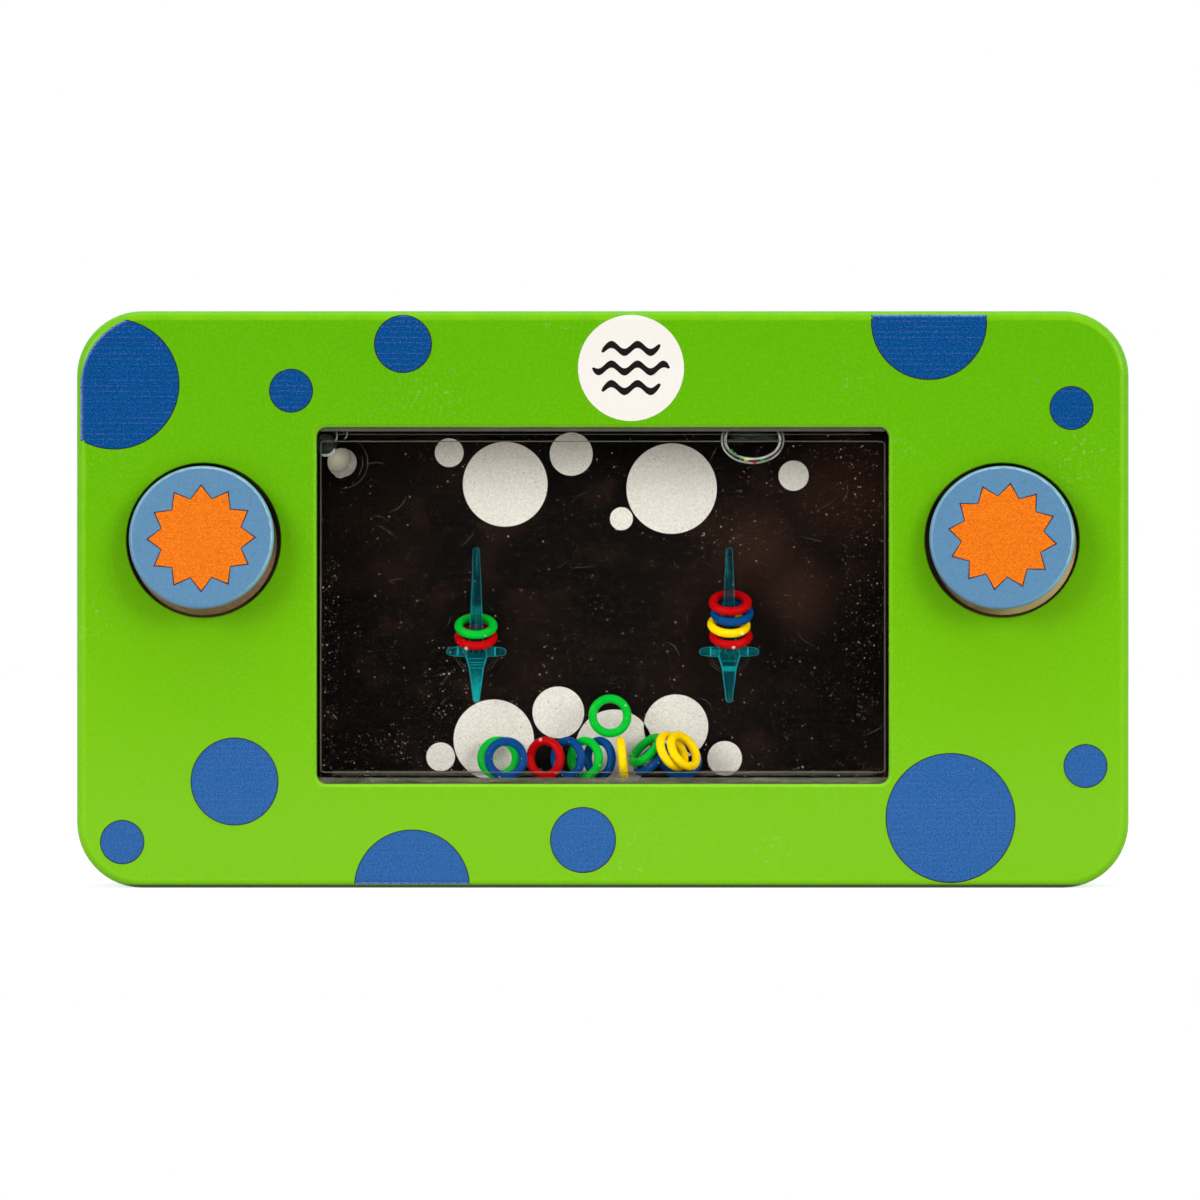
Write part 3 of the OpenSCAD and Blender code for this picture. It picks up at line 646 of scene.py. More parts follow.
def air():
    """Air in the water: clear, with two bright bands round its rim that are painted highlights, and a dark
    green painted reflection under the ceiling.
    """
    s = Shader("air", Roughness=0.12, IOR=1.33)
    height, facing = s.along(Z), s.facing()
    # A dark green painted reflection under the ceiling.
    under = s.above(height, CHAMBER_HIGH.z - 1.15 * MM, 0.25 * MM)
    painted_gleam = s.times(under, s.ramp(facing, (0.3, 0.7), (0.36, 0)))
    white = s.mottle(900, 2, (0.3, (0.85, 0.86, 0.83)), (0.7, (1, 1, 0.96)))
    s.colour(s.blend(s.above(painted_gleam, 0.1, 0.05), white, (0.002, 0.013, 0.002)))
    # Two bright bands round the rim: painted highlights.
    normal = s.add("ShaderNodeSeparateXYZ")
    s.join(s.add("ShaderNodeNewGeometry").outputs["Normal"], normal.inputs["Vector"])
    bands = s.ramp(facing, (0.34, 0), (0.39, 0.9), (0.46, 0.8), (0.5, 0.04), (0.62, 0.06), (0.67, 0.95),
                   (1, 1))
    rims = s.times(s.below(normal.outputs["Z"], 0.42, 0.1),
                   s.rest(s.times(0.8, s.above(height, CHAMBER_HIGH.z - 0.5 * MM, 0.25 * MM))),
                   bands, s.mottle(420, 2, (0.36, 0.35), (0.6, 1)))
    s.clear(s.rest(s.most(painted_gleam, rims)))
    return s.material


def plug_rubber():
    """Soft rubber pressed in off its middle: a cream disc that darkens towards its edge as painted shading of
    its dome, a ragged paler collar round it, and a dark rim.
    """
    s = Shader("plug_rubber", Subsurface_Weight=0.2, Subsurface_Scale=0.001, Roughness=0.4)
    middle = middle_of("fill_plug")

    def from_spot(right, up):
        return s.span(s.along(X, middle.x + right), s.along(Z, middle.z + up))

    ragged = s.times(s.less(s.noise(900, 3), 0.5), 0.7 * MM)
    collar = s.plus(from_spot(-0.42 * MM, 0.22 * MM), ragged)
    disc, disc_r = from_spot(-0.73 * MM, 0.64 * MM), 2 * MM
    # The cream disc darkens towards its edge: painted shading of its dome.
    cream = s.ramp(s.times(disc, 1 / disc_r), (0, (0.84, 0.79, 0.6)), (0.5, (0.6, 0.56, 0.43)),
                   (0.9, (0.34, 0.32, 0.26)), (1, (0.14, 0.13, 0.15)))
    grey = s.mottle(1400, 3, (0.3, (0.3, 0.26, 0.24)), (0.7, (0.42, 0.36, 0.33)))
    round_disc = s.blend(s.above(collar, 2.55 * MM, 0.08 * MM), grey, (0.05, 0.05, 0.045))
    s.colour(s.blend(s.above(disc, disc_r, 0.04 * MM), cream, round_disc))
    s.bump(s.noise(1500, 3), 0.03 * MM, 0.5)
    return s.material


def steel():
    s = Shader("screw_steel", Metallic=1)
    turning = s.noise(3000, 2, (1, 0.2, 1))
    s.colour(s.ramp(turning, (0.3, (0.34, 0.34, 0.36)), (0.7, (0.48, 0.48, 0.5))))
    s.rough(s.ramp(turning, (0.3, 0.24), (0.7, 0.4)))
    s.bump(turning, 0.01 * MM, 0.4)
    return s.material


def wear(node, material):
    node.data.materials.clear()
    node.data.materials.append(material)


def face_place(px, py):
    """The place on the front face that a pixel of the photograph shows, as (x, z)."""
    return Vector(((px - MIDDLE_PX[0]) / PX_PER_M, CASE_MID_Z - (py - MIDDLE_PX[1]) / PX_PER_M))


def circle(middle, radius, count=120):
    return [Vector((middle[0] + radius * math.cos(a), middle[1] + radius * math.sin(a)))
            for a in (2 * math.pi * i / count for i in range(count))]


def round_rect(low, high, radius, count=24):
    """The outline of a rectangle with round corners, anticlockwise."""
    points = []
    for i, (x, z) in enumerate(((high[0], high[1]), (low[0], high[1]), (low[0], low[1]), (high[0], low[1]))):
        middle = Vector((x - radius * (1 if i in (0, 3) else -1), z - radius * (1 if i < 2 else -1)))
        for j in range(count + 1):
            a = math.pi / 2 * (i + j / count)
            points.append(middle + radius * Vector((math.cos(a), math.sin(a))))
    return points


def rectangle(left, right, low, high):
    return [Vector(p) for p in ((left, low), (right, low), (right, high), (left, high))]


def clip(shape, window):
    """The part of a shape inside a convex window, both anticlockwise outlines."""
    for a, b in zip(window, window[1:] + window[:1]):
        side = b - a
        kept = []
        for p, q in zip(shape, shape[1:] + shape[:1]):
            dp = side.x * (p.y - a.y) - side.y * (p.x - a.x)
            dq = side.x * (q.y - a.y) - side.y * (q.x - a.x)
            if dp >= 0:
                kept.append(p)
            if (dp >= 0) != (dq >= 0):
                kept.append(p + (q - p) * (dp / (dp - dq)))
        shape = kept
        if not shape:
            break
    return shape


def star(points, outer, inner, turn):
    shape = []
    for i in range(2 * points):
        a = math.pi / 2 + turn + math.pi * i / points
        shape.append((outer if i % 2 == 0 else inner) * Vector((math.cos(a), math.sin(a))))
    return shape


def wave_band(middle, half_length, count=40):
    """A wavy band: its lower edge to the right, its upper edge back."""
    upper, lower = [], []
    for i in range(count + 1):
        x = -half_length + 2 * half_length * i / count
        z = WAVE_HEIGHT * math.sin(2 * math.pi * x / WAVE_PERIOD)
        taper = WAVE_WIDTH / 2 * math.sqrt(max(0, 1 - (2 * i / count - 1) ** 12))
        upper.append(middle + Vector((x, z + taper)))
        lower.append(middle + Vector((x, z - taper)))
    return lower + upper[::-1]


def mesh_data(name, mesh):
    data = bpy.data.meshes.new(name)
    mesh.to_mesh(data)
    mesh.free()
    return data


def new_object(name, data):
    obj = bpy.data.objects.new(name, data)
    bpy.context.scene.collection.objects.link(obj)
    return obj


def piece(name, mesh, slot, *materials, body="root"):
    """A new object that rides on a body and wears the given materials."""
    obj = new_object(name, mesh_data(name, mesh))
    for material in materials:
        obj.data.materials.append(material)
    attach(obj, body)
    return obj


def skin(mesh, loops):
    """Faces from each loop of corners to the next."""
    for first, second in zip(loops, loops[1:]):
        for k in range(len(first)):
            mesh.faces.new((first[k], first[k - 1], second[k - 1], second[k]))


def print_sheet(name, shapes, place, slot, material, rings=1, body="root"):
    """Printed shapes, each an outline, as one mesh: place puts a point of the sheet on what carries it.

    With more than one ring a shape, which is then convex, is built of loops round its middle, so it bends.
    """
    mesh = bmesh.new()
    for shape in shapes:
        outline = [p for p, q in zip(shape, shape[1:] + shape[:1]) if (p - q).length > 1e-7]
        middle = sum(outline, Vector((0, 0))) / len(outline)
        loops = [[mesh.verts.new(place(middle.lerp(p, i / rings))) for p in outline]
                 for i in range(1, rings + 1)]
        mesh.faces.new(loops[0])
        skin(mesh, loops)
    mesh.normal_update()
    bmesh.ops.triangulate(mesh, faces=[f for f in mesh.faces if len(f.verts) > 4])
    return piece(name, mesh, slot, material, body=body)


def flat(to_world):
    """Puts a sheet's points on a plane."""
    return lambda p: to_world @ Vector((p.x, p.y, 0))


def upright(y):
    """Puts a sheet's points on the plane at depth y, as seen from the front."""
    return lambda p: Vector((p.x, y, p.y))


def on_case(lift):
    """Puts a sheet's points on the front of the case, lifted, and round its edge where they reach it."""
    straight = Vector((CASE_HIGH.x - CASE_CORNER, CASE_HIGH.z - CASE_MID_Z - CASE_CORNER))

    def place(p):
        x, z = abs(p.x) - straight.x, abs(p.y - CASE_MID_Z) - straight.y
        if x > 0 and z > 0:
            out, away = math.hypot(x, z), Vector((x, z)).normalized()
        else:
            out, away = max(x, z), Vector((1, 0)) if x > z else Vector((0, 1))
        away = Vector((math.copysign(away.x, p.x), math.copysign(away.y, p.y - CASE_MID_Z)))
        sine = min(1, max(0, (out - CASE_CORNER + EDGE_R) / EDGE_R))
        cosine = math.sqrt(1 - sine * sine)
        return Vector((p.x + away.x * sine * lift, FACE_Y + EDGE_R * (1 - cosine) - cosine * lift,
                       p.y + away.y * sine * lift))
    return place


def tube(name, points, radius, material, slot="clear_plastic", closed=False, sides=6):
    """A thin tube along points, drawn to a point at its open ends."""
    mesh = bmesh.new()
    loops = []
    count = len(points)
    for i, point in enumerate(points):
        before = points[i - 1] if closed or i > 0 else point
        after = points[(i + 1) % count] if closed or i < count - 1 else point
        along = (after - before).normalized()
        across = along.cross(Vector(Y)).normalized()
        up = along.cross(across)
        thick = radius if closed else radius * (1 - (2 * i / (count - 1) - 1) ** 4 * 0.85)
        loops.append([mesh.verts.new(point + thick * (across * math.cos(a) + up * math.sin(a)))
                      for a in (2 * math.pi * k / sides for k in range(sides))])
    if closed:
        loops.append(loops[0])
    else:
        mesh.faces.new(loops[0])
        mesh.faces.new(loops[-1][::-1])
    skin(mesh, loops)
    bmesh.ops.recalc_face_normals(mesh, faces=mesh.faces)
    return piece(name, mesh, slot, material)


def strewn(name, zones, sizes, depths, slot, materials, seed):
    """Tiny four-cornered flakes strewn at random over zones of the photograph, each at one of some depths."""
    chance = random.Random(seed)
    mesh = bmesh.new()
    for count, left, top, right, bottom in zones:
        for _ in range(count):
            spot = face_place(chance.uniform(left, right), chance.uniform(top, bottom))
            size = sizes[0] + (sizes[1] - sizes[0]) * chance.random() ** 2.5
            turn = Euler([chance.uniform(0, 2 * math.pi) for _ in range(3)]).to_matrix()
            middle = Vector((spot.x, chance.choice(depths), spot.y))
            corners = [mesh.verts.new(middle + turn @ Vector(c) * size * chance.uniform(0.5, 1))
                       for c in ((0.6, 0.6, 0.6), (0.6, -0.6, -0.6), (-0.6, 0.6, -0.6), (-0.6, -0.6, 0.6))]
            look = min(int(chance.random() ** 2 * len(materials)), len(materials) - 1)
            for skipped in range(4):
                face = mesh.faces.new([c for i, c in enumerate(corners) if i != skipped])
                face.material_index = look
    bmesh.ops.recalc_face_normals(mesh, faces=mesh.faces)
    return piece(name, mesh, slot, *materials)


def arc(middle, radius, start, end, y, count=24):
    """Points on an upright arc, its angles in degrees from the right, anticlockwise from the front."""
    angles = (math.radians(start + (end - start) * i / count) for i in range(count + 1))
    return [upright(y)(middle + radius * Vector((math.cos(a), math.sin(a)))) for a in angles]


def button_place(side):
    """A button's leaning disc: its outward axis, its reach along that, its radius and its frame."""
    mesh = nodes[f"{side}_button"].data
    faces = [p for p in mesh.polygons if p.normal.y < -0.5 and p.area > 0.05 * MM * MM]
    outward = max(faces, key=lambda p: p.area).normal.normalized()
    points = [v.co for v in mesh.vertices]
    reach = max(p.dot(outward) for p in points)
    front = [p for p in points if p.dot(outward) > reach - 0.01 * MM]
    middle = Vector([(min(p[i] for p in front) + max(p[i] for p in front)) / 2 for i in range(3)])
    radius = max((p - middle).length for p in front)
    right = Vector(Z).cross(outward).normalized()
    turned = Matrix((right, outward.cross(right), outward)).transposed().to_4x4()
    return outward, reach, radius, Matrix.Translation(middle + outward * PRINT_LIFT) @ turned


def print_face(inks):
    """Blue spots and a white roundel with waves on the front of the case."""
    edge = round_rect((CASE_LOW.x + PRINT_INSET, CASE_LOW.z + PRINT_INSET),
                      (CASE_HIGH.x - PRINT_INSET, CASE_HIGH.z - PRINT_INSET), PRINT_CORNER)
    upper, lower = on_case(PRINT_LIFT), on_case(PRINT_LIFT / 2)
    groups = {"inner": [], "bent": []}
    for px, py, radius_px in SPOTS_PX:
        middle, radius = face_place(px, py), radius_px / PX_PER_M
        bent = (abs(middle.x) + radius > CASE_HIGH.x - EDGE_R
                or abs(middle.y - CASE_MID_Z) + radius > CASE_MID_Z - EDGE_R)
        groups["bent" if bent else "inner"].append((middle, radius))
    for group, spots in groups.items():
        rings = 48 if group == "bent" else 1
        for name, grow, place, slot, colour in (
                (f"{group}_spot_outlines", OUTLINE_W / 2, lower, "print_dark", "outline"),
                (f"{group}_spots", -OUTLINE_W / 2, upper, "print_blue", "blue")):
            shapes = [clip(circle(middle, radius + grow), edge) for middle, radius in spots]
            print_sheet(name, shapes, place, slot, inks[colour], rings)
    middle, radius = face_place(*ROUNDEL_PX[:2]), ROUNDEL_PX[2] / PX_PER_M
    print_sheet("roundel", [clip(circle(middle, radius), edge)], lower, "print_white", inks["white"], 32)
    waves = [wave_band(middle + Vector((0, up)), half_length) for up, half_length in WAVES]
    print_sheet("roundel_waves", waves, upper, "print_dark", inks["dark"])


def print_buttons(inks):
    """An orange starburst with a thin outline on each button."""
    for side, turn in BURST_TURN.items():
        outward, reach, radius, to_world = button_place(side)
        wear(nodes[f"{side}_button"], board_disc(side, outward, reach, to_world.translation, radius))
        to_world = to_world @ Matrix.Translation(BURST_SHIFT[side].to_3d())
        for name, grow, sink, slot in (("burst_outline", OUTLINE_W, PRINT_LIFT / 2, "print_dark"),
                                       ("burst", 0, 0, "print_orange")):
            shape = star(BURST_POINTS, BURST_OUT + 2 * grow, BURST_IN + grow, turn)
            place = flat(to_world @ Matrix.Translation((0, 0, -sink)))
            print_sheet(f"{side}_{name}", [shape], place, slot, inks[name], body=f"{side}_plunger")


def print_card(inks):
    """White bubbles on a black print, just inside the clear wall that the card lies against."""
    edge = round_rect((CARD_LOW.x, CARD_LOW.z), (CARD_HIGH.x, CARD_HIGH.z), 0.6 * MM)
    y = CARD_LOW.y - PRINT_LIFT
    print_sheet("card_print", [edge], upright(y), "black_card", inks["black"])
    bubbles = [clip(circle((x * MM, CHAMBER_LOW.z + z * MM), r * MM), edge) for x, z, r in CARD_BUBBLES]
    print_sheet("card_bubbles", bubbles, upright(y - PRINT_LIFT), "print_white", inks["card_white"])


def tray_edges(line):
    """Painted highlights: bright lines along the edge of the tray's hollow and along the tank's floor."""
    front = TRAY_LOW.y + CLEAR_T
    hollow = map(upright(front), round_rect(HOLLOW_LOW, HOLLOW_HIGH, HOLLOW_R, 8))
    tube("hollow_edge", list(hollow), 0.07 * MM, line, closed=True)
    start = Vector((CHAMBER_LOW.x, CHAMBER_HIGH.y - 0.1 * MM, CHAMBER_LOW.z + 0.12 * MM))
    end = Vector((CHAMBER_HIGH.x, start.y, start.z))
    tube("floor_edge", [start.lerp(end, i / 20) for i in range(21)], 0.08 * MM, line)


def gloss_bands(faint):
    """Painted reflections and highlights as strips along the window's top and foot, on the tray's front or
    the chamber's rear wall.
    """
    opening = round_rect((-WINDOW_HALF.x, WINDOW_MID_Z - WINDOW_HALF.y),
                         (WINDOW_HALF.x, WINDOW_MID_Z + WINDOW_HALF.y), WINDOW_R)
    looks = {"top_gloss": see_through("top_gloss", (0.125, 0.135, 0.1), 0.75), "top_line": faint,
             "foot_gloss": floor_reflection_film(), "foot_haze": see_through("foot_haze", (0.09, 0.085, 0.07), 0.5)}
    for up, bands in ((1, TOP_BANDS), (-1, FOOT_BANDS)):
        for name, (low, high, short) in bands.items():
            low, high = (WINDOW_MID_Z + up * WINDOW_HALF.y + z * MM for z in (low, high))
            side = WINDOW_HALF.x - short * MM
            band = rectangle(-side, side, low, high)
            y = CHAMBER_HIGH.y - 0.15 * MM if name == "foot_haze" else TRAY_LOW.y - PRINT_LIFT / 2
            print_sheet(name, [clip(band, opening)], upright(y), "clear_plastic", looks[name])


def rim_lines(faint):
    """Painted highlights: faint arcs on the rims round the pegs' stems and the filler plug, and a glint on
    the plug.
    """
    wall = CHAMBER_HIGH.y - RIM_T
    arcs = [(1, 195, 252), (1, 292, 350), (0.88, 205, 245), (0.88, 300, 338)]
    for side in ("left", "right"):
        low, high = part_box(f"{side}_peg")
        middle = Vector(((low.x + high.x) / 2, low.z + PEG_BAR_UP))
        for i, (radius, start, end) in enumerate(arcs):
            line = arc(middle, PEG_RIM_R * radius, start, end, wall)
            tube(f"{side}_rim_line_{i}", line, 0.04 * MM, faint)
    plug = middle_of("fill_plug").xz
    tube("plug_rim_line", arc(plug, PLUG_RIM_R, -95, 52, wall), 0.06 * MM, faint)
    tube("plug_inner_line", arc(plug, PLUG_RIM_R * 0.8, -40, 20, wall), 0.05 * MM, faint)
    glint = arc(plug, 2.1 * MM, -118, -84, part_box("fill_plug")[0].y - 0.02 * MM, 8)
    tube("plug_glint", glint, 0.06 * MM, see_through("plug_glint", (0.7, 0.68, 0.6), 0.8), "white_rubber")


def air_bubble():
    """Air under the ceiling: an ellipsoid, cut off level where it touches."""
    middle = face_place(*BUBBLE_PX[:2])
    half = Vector((BUBBLE_PX[2] / PX_PER_M, BUBBLE_DEPTH, BUBBLE_PX[3] / PX_PER_M))
    mesh = bmesh.new()
    bmesh.ops.create_uvsphere(mesh, u_segments=72, v_segments=36, radius=1)
    for corner in mesh.verts:
        x, y, z = corner.co
        bulge = 1 - 0.06 * z
        corner.co = (x * half.x * bulge + middle.x, y * half.y * bulge + CHAMBER_MID_Y, z * half.z + middle.y)
    ceiling = Vector((0, 0, CHAMBER_HIGH.z - PRINT_LIFT))
    everything = mesh.verts[:] + mesh.edges[:] + mesh.faces[:]
    bmesh.ops.bisect_plane(mesh, geom=everything, plane_co=ceiling, plane_no=Z, clear_outer=True)
    for face in mesh.faces:
        face.smooth = True
    piece("air_bubble", mesh, "air", air())
    # Flecks of the rings' colours in the bubble's rim: painted reflections.
    depth = (CHAMBER_MID_Y - 2 * MM,)
    for seed, (colour, zones) in enumerate(RIM_REFLECTIONS_PX.items()):
        mirrored = see_through(f"mirrored_{colour}", RING_COLOURS[colour], 0.95)
        strewn(f"{colour}_flecks", zones, (0.2 * MM, 0.34 * MM), depth, "air", [mirrored], seed)


def corner_air():
    """Air in the upper left corner: a dark mottled sheet of painted shade and reflection, and bright lines
    that are painted highlights.
    """
    bright = see_through("bright_line", (0.8, 0.8, 0.74), 0.85)
    for i, (path, radius) in enumerate(CORNER_HIGHLIGHTS_PX):
        points = [upright(CHAMBER_LOW.y + 0.5 * MM)(face_place(*px)) for px in path]
        tube(f"corner_glint_{i}", points, radius, bright, "air")
    middle, radius = face_place(*CORNER_AIR_PX[:2]), CORNER_AIR_PX[2] / PX_PER_M
    walls = rectangle(CHAMBER_LOW.x, CHAMBER_HIGH.x, CHAMBER_LOW.z, CHAMBER_HIGH.z)
    place = upright(CHAMBER_LOW.y + 0.6 * MM)
    print_sheet("corner_air", [clip(circle(middle, radius, 48), walls)], place, "air", painted_air_shade())


def strew_dust():
    """Fine dust on the chamber's front and rear walls."""
    dust = [see_through("dust_grey", (0.2, 0.18, 0.145), 0.8), see_through("dust_cream", (0.9, 0.82, 0.6), 1),
            see_through("dust_red", (0.38, 0.07, 0.035), 1)]
    depths = (CHAMBER_LOW.y + 0.02 * MM, CHAMBER_HIGH.y - 0.02 * MM)
    strewn("dust", DUST_PX, (0.065 * MM, 0.17 * MM), depths, "speck", dust, DUST_SEED)


def scratch_window():
    """Hairline scratches and scuffs on the front of the clear tray."""
    chance = random.Random(SCRATCH_SEED)
    aside, down, up = SCRATCHED
    shapes = []
    for _ in range(SCRATCHES):
        start = Vector((chance.uniform(-aside, aside) * MM, CASE_MID_Z + chance.uniform(-down, up) * MM))
        heading = chance.gauss(0.3, 0.6)
        bend = chance.uniform(-0.12, 0.12)
        length = chance.uniform(0.6, 3.6) * MM
        width = chance.uniform(0.01, 0.024) * MM
        points = [start]
        for _ in range(10):
            points.append(points[-1] + length / 10 * Vector((math.cos(heading), math.sin(heading))))
            heading += bend
        across = [Vector((-(q - p).y, (q - p).x)).normalized() * width for p, q in zip(points, points[1:])]
        across.append(across[-1])
        shapes.append([p - a for p, a in zip(points, across)] + [p + a for p, a in zip(points, across)][::-1])
    film = see_through("scratch", (0.5, 0.49, 0.45), 0.26)
    print_sheet("scratches", shapes, upright(TRAY_LOW.y - PRINT_LIFT / 2), "clear_plastic", film)


def fleck_paint():
    """Flecks of other paint and pale dust on the face."""
    orange = see_through("orange_fleck", (0.8, 0.3, 0.02), 0.7)
    pale = see_through("pale_fleck", (0.55, 0.72, 0.45), 0.8)
    depth = (FACE_Y + 0.01 * MM,)
    strewn("orange_flecks", ORANGE_FLECKS_PX, (0.06 * MM, 0.14 * MM), depth, "speck", [orange], ORANGE_SEED)
    strewn("pale_flecks", PALE_FLECKS_PX, (0.06 * MM, 0.17 * MM), depth, "speck", [pale], PALE_SEED)


def on_ring(name, part, angle, radius, slot, material):
    """A small rough lump on the front of a ring, at an angle as seen from the front."""
    low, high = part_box(name)
    middle, half = (low + high) / 2, (high - low) / 2
    a = math.radians(angle)
    aim = Vector((middle.x + half.x * math.cos(a) * 0.93, middle.z + half.z * math.sin(a) * 0.93))
    corners = (v.co for v in nodes[name].data.vertices)
    place = min(sorted(corners, key=lambda p: (p.xz - aim).length)[:12], key=lambda p: p.y)
    chance = random.Random(name)
    mesh = bmesh.new()
    bmesh.ops.create_icosphere(mesh, subdivisions=2, radius=radius)
    for corner in mesh.verts:
        corner.co = corner.co * chance.uniform(0.75, 1.15) + place
    piece(f"{name}_{part}", mesh, slot, material, body=f"{name}_body")


def dress_rings():
    """Nubs, paler where they were torn off, and small bright white dots."""
    torn = {colour: ring_plastic(f"{colour}_nub", tuple(c + 0.35 * (1 - c) for c in RING_COLOURS[colour]))
            for colour in ("red", "yellow")}
    for name, angle in RING_NUBS.items():
        colour = name.rsplit("_", 1)[1]
        on_ring(name, "nub", angle, NUB_R, f"ring_{colour}", torn[colour])
    white_dot = see_through("clinging_air", (0.9, 0.9, 0.8), 0.95)
    for name, angle in WHITE_DOTS.items():
        on_ring(name, "air", angle, WHITE_DOT_R, "air", white_dot)


def soft_bellows(material):
    """Rubber bellows with rounded folds, built in place of the model's bellows, which are hidden."""
    steps, turns = BELLOWS_FOLDS * FOLD_STEPS, 72
    for side in ("left", "right"):
        low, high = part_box(f"{side}_bellows")
        middle, outer = (low + high) / 2, (high.x - low.x) / 2
        length = high.y - low.y
        profile = []
        for share in (i / steps for i in range(steps + 1)):
            wave = (1 - math.cos(2 * math.pi * share * BELLOWS_FOLDS)) / 2
            profile.append((outer - FOLD_IN * (1 - wave ** 0.8), high.y - length * share))
        profile += [(r - RUBBER_T, y) for r, y in profile[::-1]]
        mesh = bmesh.new()
        loops = [[mesh.verts.new(Vector((middle.x + r * math.cos(a), y, middle.z + r * math.sin(a))))
                  for a in (2 * math.pi * k / turns for k in range(turns))] for r, y in profile]
        skin(mesh, loops + loops[:1])
        for face in mesh.faces:
            face.smooth = True
        bmesh.ops.recalc_face_normals(mesh, faces=mesh.faces)
        folds = piece(f"{side}_rubber_bellows", mesh, "bellows_rubber", material)
        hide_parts(f"{side}_bellows")
        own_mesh(folds)


def dress_model():
    """A material for every node of the model."""
    rings = {name: ring_plastic(name, colour) for name, colour in RING_COLOURS.items()}
    rubber = plain("bellows_rubber", (0.05, 0.05, 0.055), 0.6)
    retainer = retainer_plastic()
    looks = {
        "front_case": case_paint("case_paint", (FACE_Y + FACE_T - 0.02 * MM, CASE_HIGH.y + 1 * MM)),
        "back_cover": case_paint("cover_paint", (FACE_Y, -FACE_Y - 0.5 * MM)),
        "cover_screws": steel(),
        "tank_body": clear_plastic("tank_plastic", 1.15),
        "tank_window": clear_plastic("window_plastic", 1.34),
        "fill_plug": plug_rubber(),
        "backing_card": card_ink(),
        "foam_pads": plain("foam", (0.06, 0.06, 0.065), 0.9, 2500, 0.5, 0.2 * MM),
        "left_peg": peg_plastic("left"), "right_peg": peg_plastic("right"),
        "left_retainer": retainer, "right_retainer": retainer,
        "left_bellows": rubber, "right_bellows": rubber,
    }
    looks |= {name: rings[name.rsplit("_", 1)[1]] for name in nodes if "_ring_" in name}
    for name, material in looks.items():
        wear(nodes[name], material)
    dress_rings()
    soft_bellows(rubber)


def mix_inks():
    return {
        "blue": ink("print_blue", SPOT_BLUE, (0.11, 0.13, 0.40), 0.6, low=SPOT_BLUE_BOUNCE_LIT, painted_gleam=SPOT_HIGHLIGHT),
        "white": ink("print_white", PRINT_WHITE, (0.75, 0.74, 0.7), 0.08, 0.45),
        "card_white": ink("card_white", CARD_WHITE, (0.62, 0.58, 0.52), 0.25, 0.45),
        "burst": ink("print_orange", ORANGE, (0.8, 0.3, 0.03), 0.4),
        "outline": ink("spot_outline", (0.035, 0.03, 0.04), (0.09, 0.05, 0.04)),
        "burst_outline": ink("burst_outline", (0.06, 0.03, 0.055), (0.12, 0.08, 0.03)),
        "dark": ink("print_dark", (0.012, 0.01, 0.01), (0.05, 0.04, 0.04)),
        "black": card_ink(),
    }


def stage_floor():
    """A white floor that keeps the object's shadow."""
    mesh = bmesh.new()
    corners = rectangle(-FLOOR_REACH, FLOOR_REACH, -FLOOR_FRONT, FLOOR_REACH)
    mesh.faces.new([mesh.verts.new(p.to_3d()) for p in corners])
    floor = new_object("floor", mesh_data("floor", mesh))
    s = Shader("floor", Base_Color=(0.4, 0.395, 0.39), Roughness=0.9)
    light = s.add("ShaderNodeLightPath").outputs
    glow = s.add("ShaderNodeEmission")
    seen = s.most(light["Is Camera Ray"], light["Is Glossy Ray"], light["Is Transmission Ray"])
    s.join(s.times(seen, FLOOR_GLOW), glow.inputs["Strength"])
    both = s.add("ShaderNodeAddShader")
    s.join(s.bsdf.outputs["BSDF"], both.inputs[0])
    s.join(glow.outputs["Emission"], both.inputs[1])
    s.surface(both.outputs["Shader"])
    wear(floor, s.material)


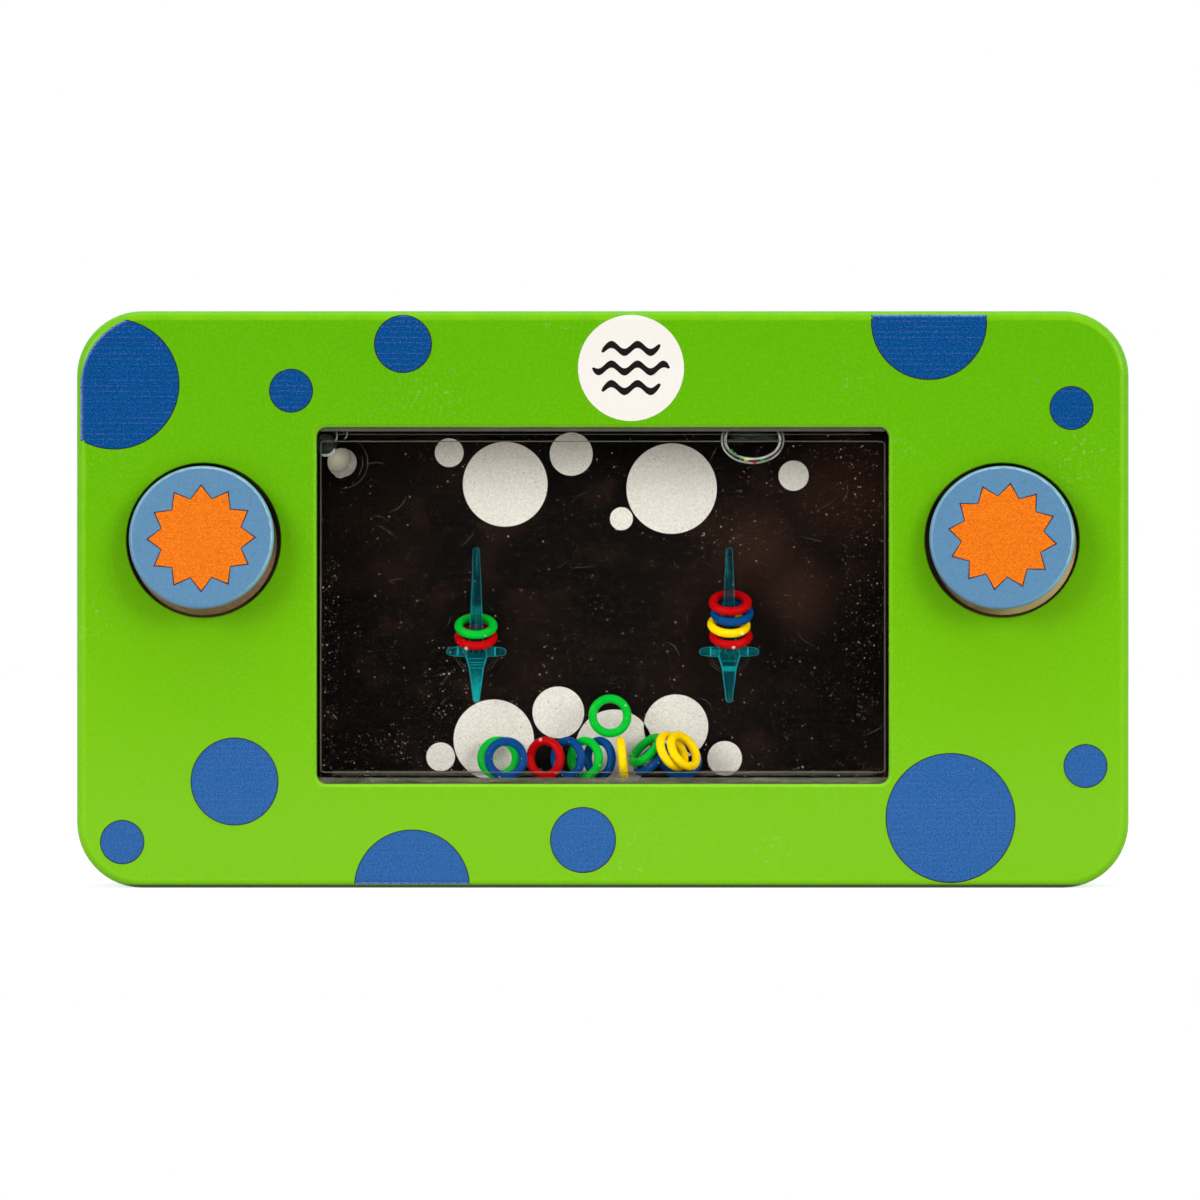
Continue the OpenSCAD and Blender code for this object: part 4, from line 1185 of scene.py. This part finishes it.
def studio_world():
    """White behind the object; soft light from above, the sides and behind, and a dark room in front."""
    world = bpy.data.worlds.new("studio")
    bpy.context.scene.world = world
    world.use_nodes = True
    w = Nodes(world.node_tree)
    shade = w.tree.nodes["Background"].inputs
    shade["Color"].default_value = (1, 1, 1, 1)
    split = w.add("ShaderNodeSeparateXYZ")
    w.join(w.add("ShaderNodeTexCoord").outputs["Generated"], split.inputs["Vector"])
    room = w.above(split.outputs["Y"], -0.645, 0.345, low=0.008)
    light = w.add("ShaderNodeLightPath").outputs
    dimmed = w.times(room, w.rest(w.times(0.15, light["Is Diffuse Ray"])))
    w.join(w.most(dimmed, light["Is Camera Ray"]), shade["Strength"])


def lamp(name, place, target, size, power):
    data = bpy.data.lights.new(name, "AREA")
    data.shape = "RECTANGLE"
    data.size, data.size_y = size
    data.energy = power
    obj = new_object(name, data)
    obj.location = place
    obj.rotation_euler = (Vector(target) - Vector(place)).to_track_quat("-Z", "Y").to_euler()
    return obj


def photo_camera():
    """A long lens, level, straight in front of the case."""
    data = bpy.data.cameras.new("camera")
    data.sensor_width = SENSOR_MM
    data.lens = SENSOR_MM * VIEW_DISTANCE * PX_PER_M / PHOTO_PX
    data.clip_end = 20
    camera = new_object("camera", data)
    aim = face_place(PHOTO_PX / 2, PHOTO_PX / 2)
    camera.location = (aim.x, FACE_Y - VIEW_DISTANCE, aim.y)
    camera.rotation_euler = (math.pi / 2, 0, 0)
    bpy.context.scene.camera = camera


def main():
    bpy.context.scene.view_settings.view_transform = "Standard"
    photo_camera()
    studio_world()
    stage_floor()
    lamps = {name: lamp(name, *how) for name, how in LAMPS.items()}
    lamps["low_lamp"].data.color = LOW_LAMP_COLOUR
    lamps["low_lamp"].visible_camera = False
    dress_model()
    inks = mix_inks()
    print_face(inks)
    print_buttons(inks)
    print_card(inks)
    # The faint lines and the edge lines are painted highlights.
    faint = see_through("faint_line", (0.09, 0.09, 0.075), 0.6)
    tray_edges(see_through("edge_line", (0.15, 0.135, 0.1), 0.75))
    gloss_bands(faint)
    rim_lines(faint)
    air_bubble()
    corner_air()
    strew_dust()
    scratch_window()
    fleck_paint()


main()
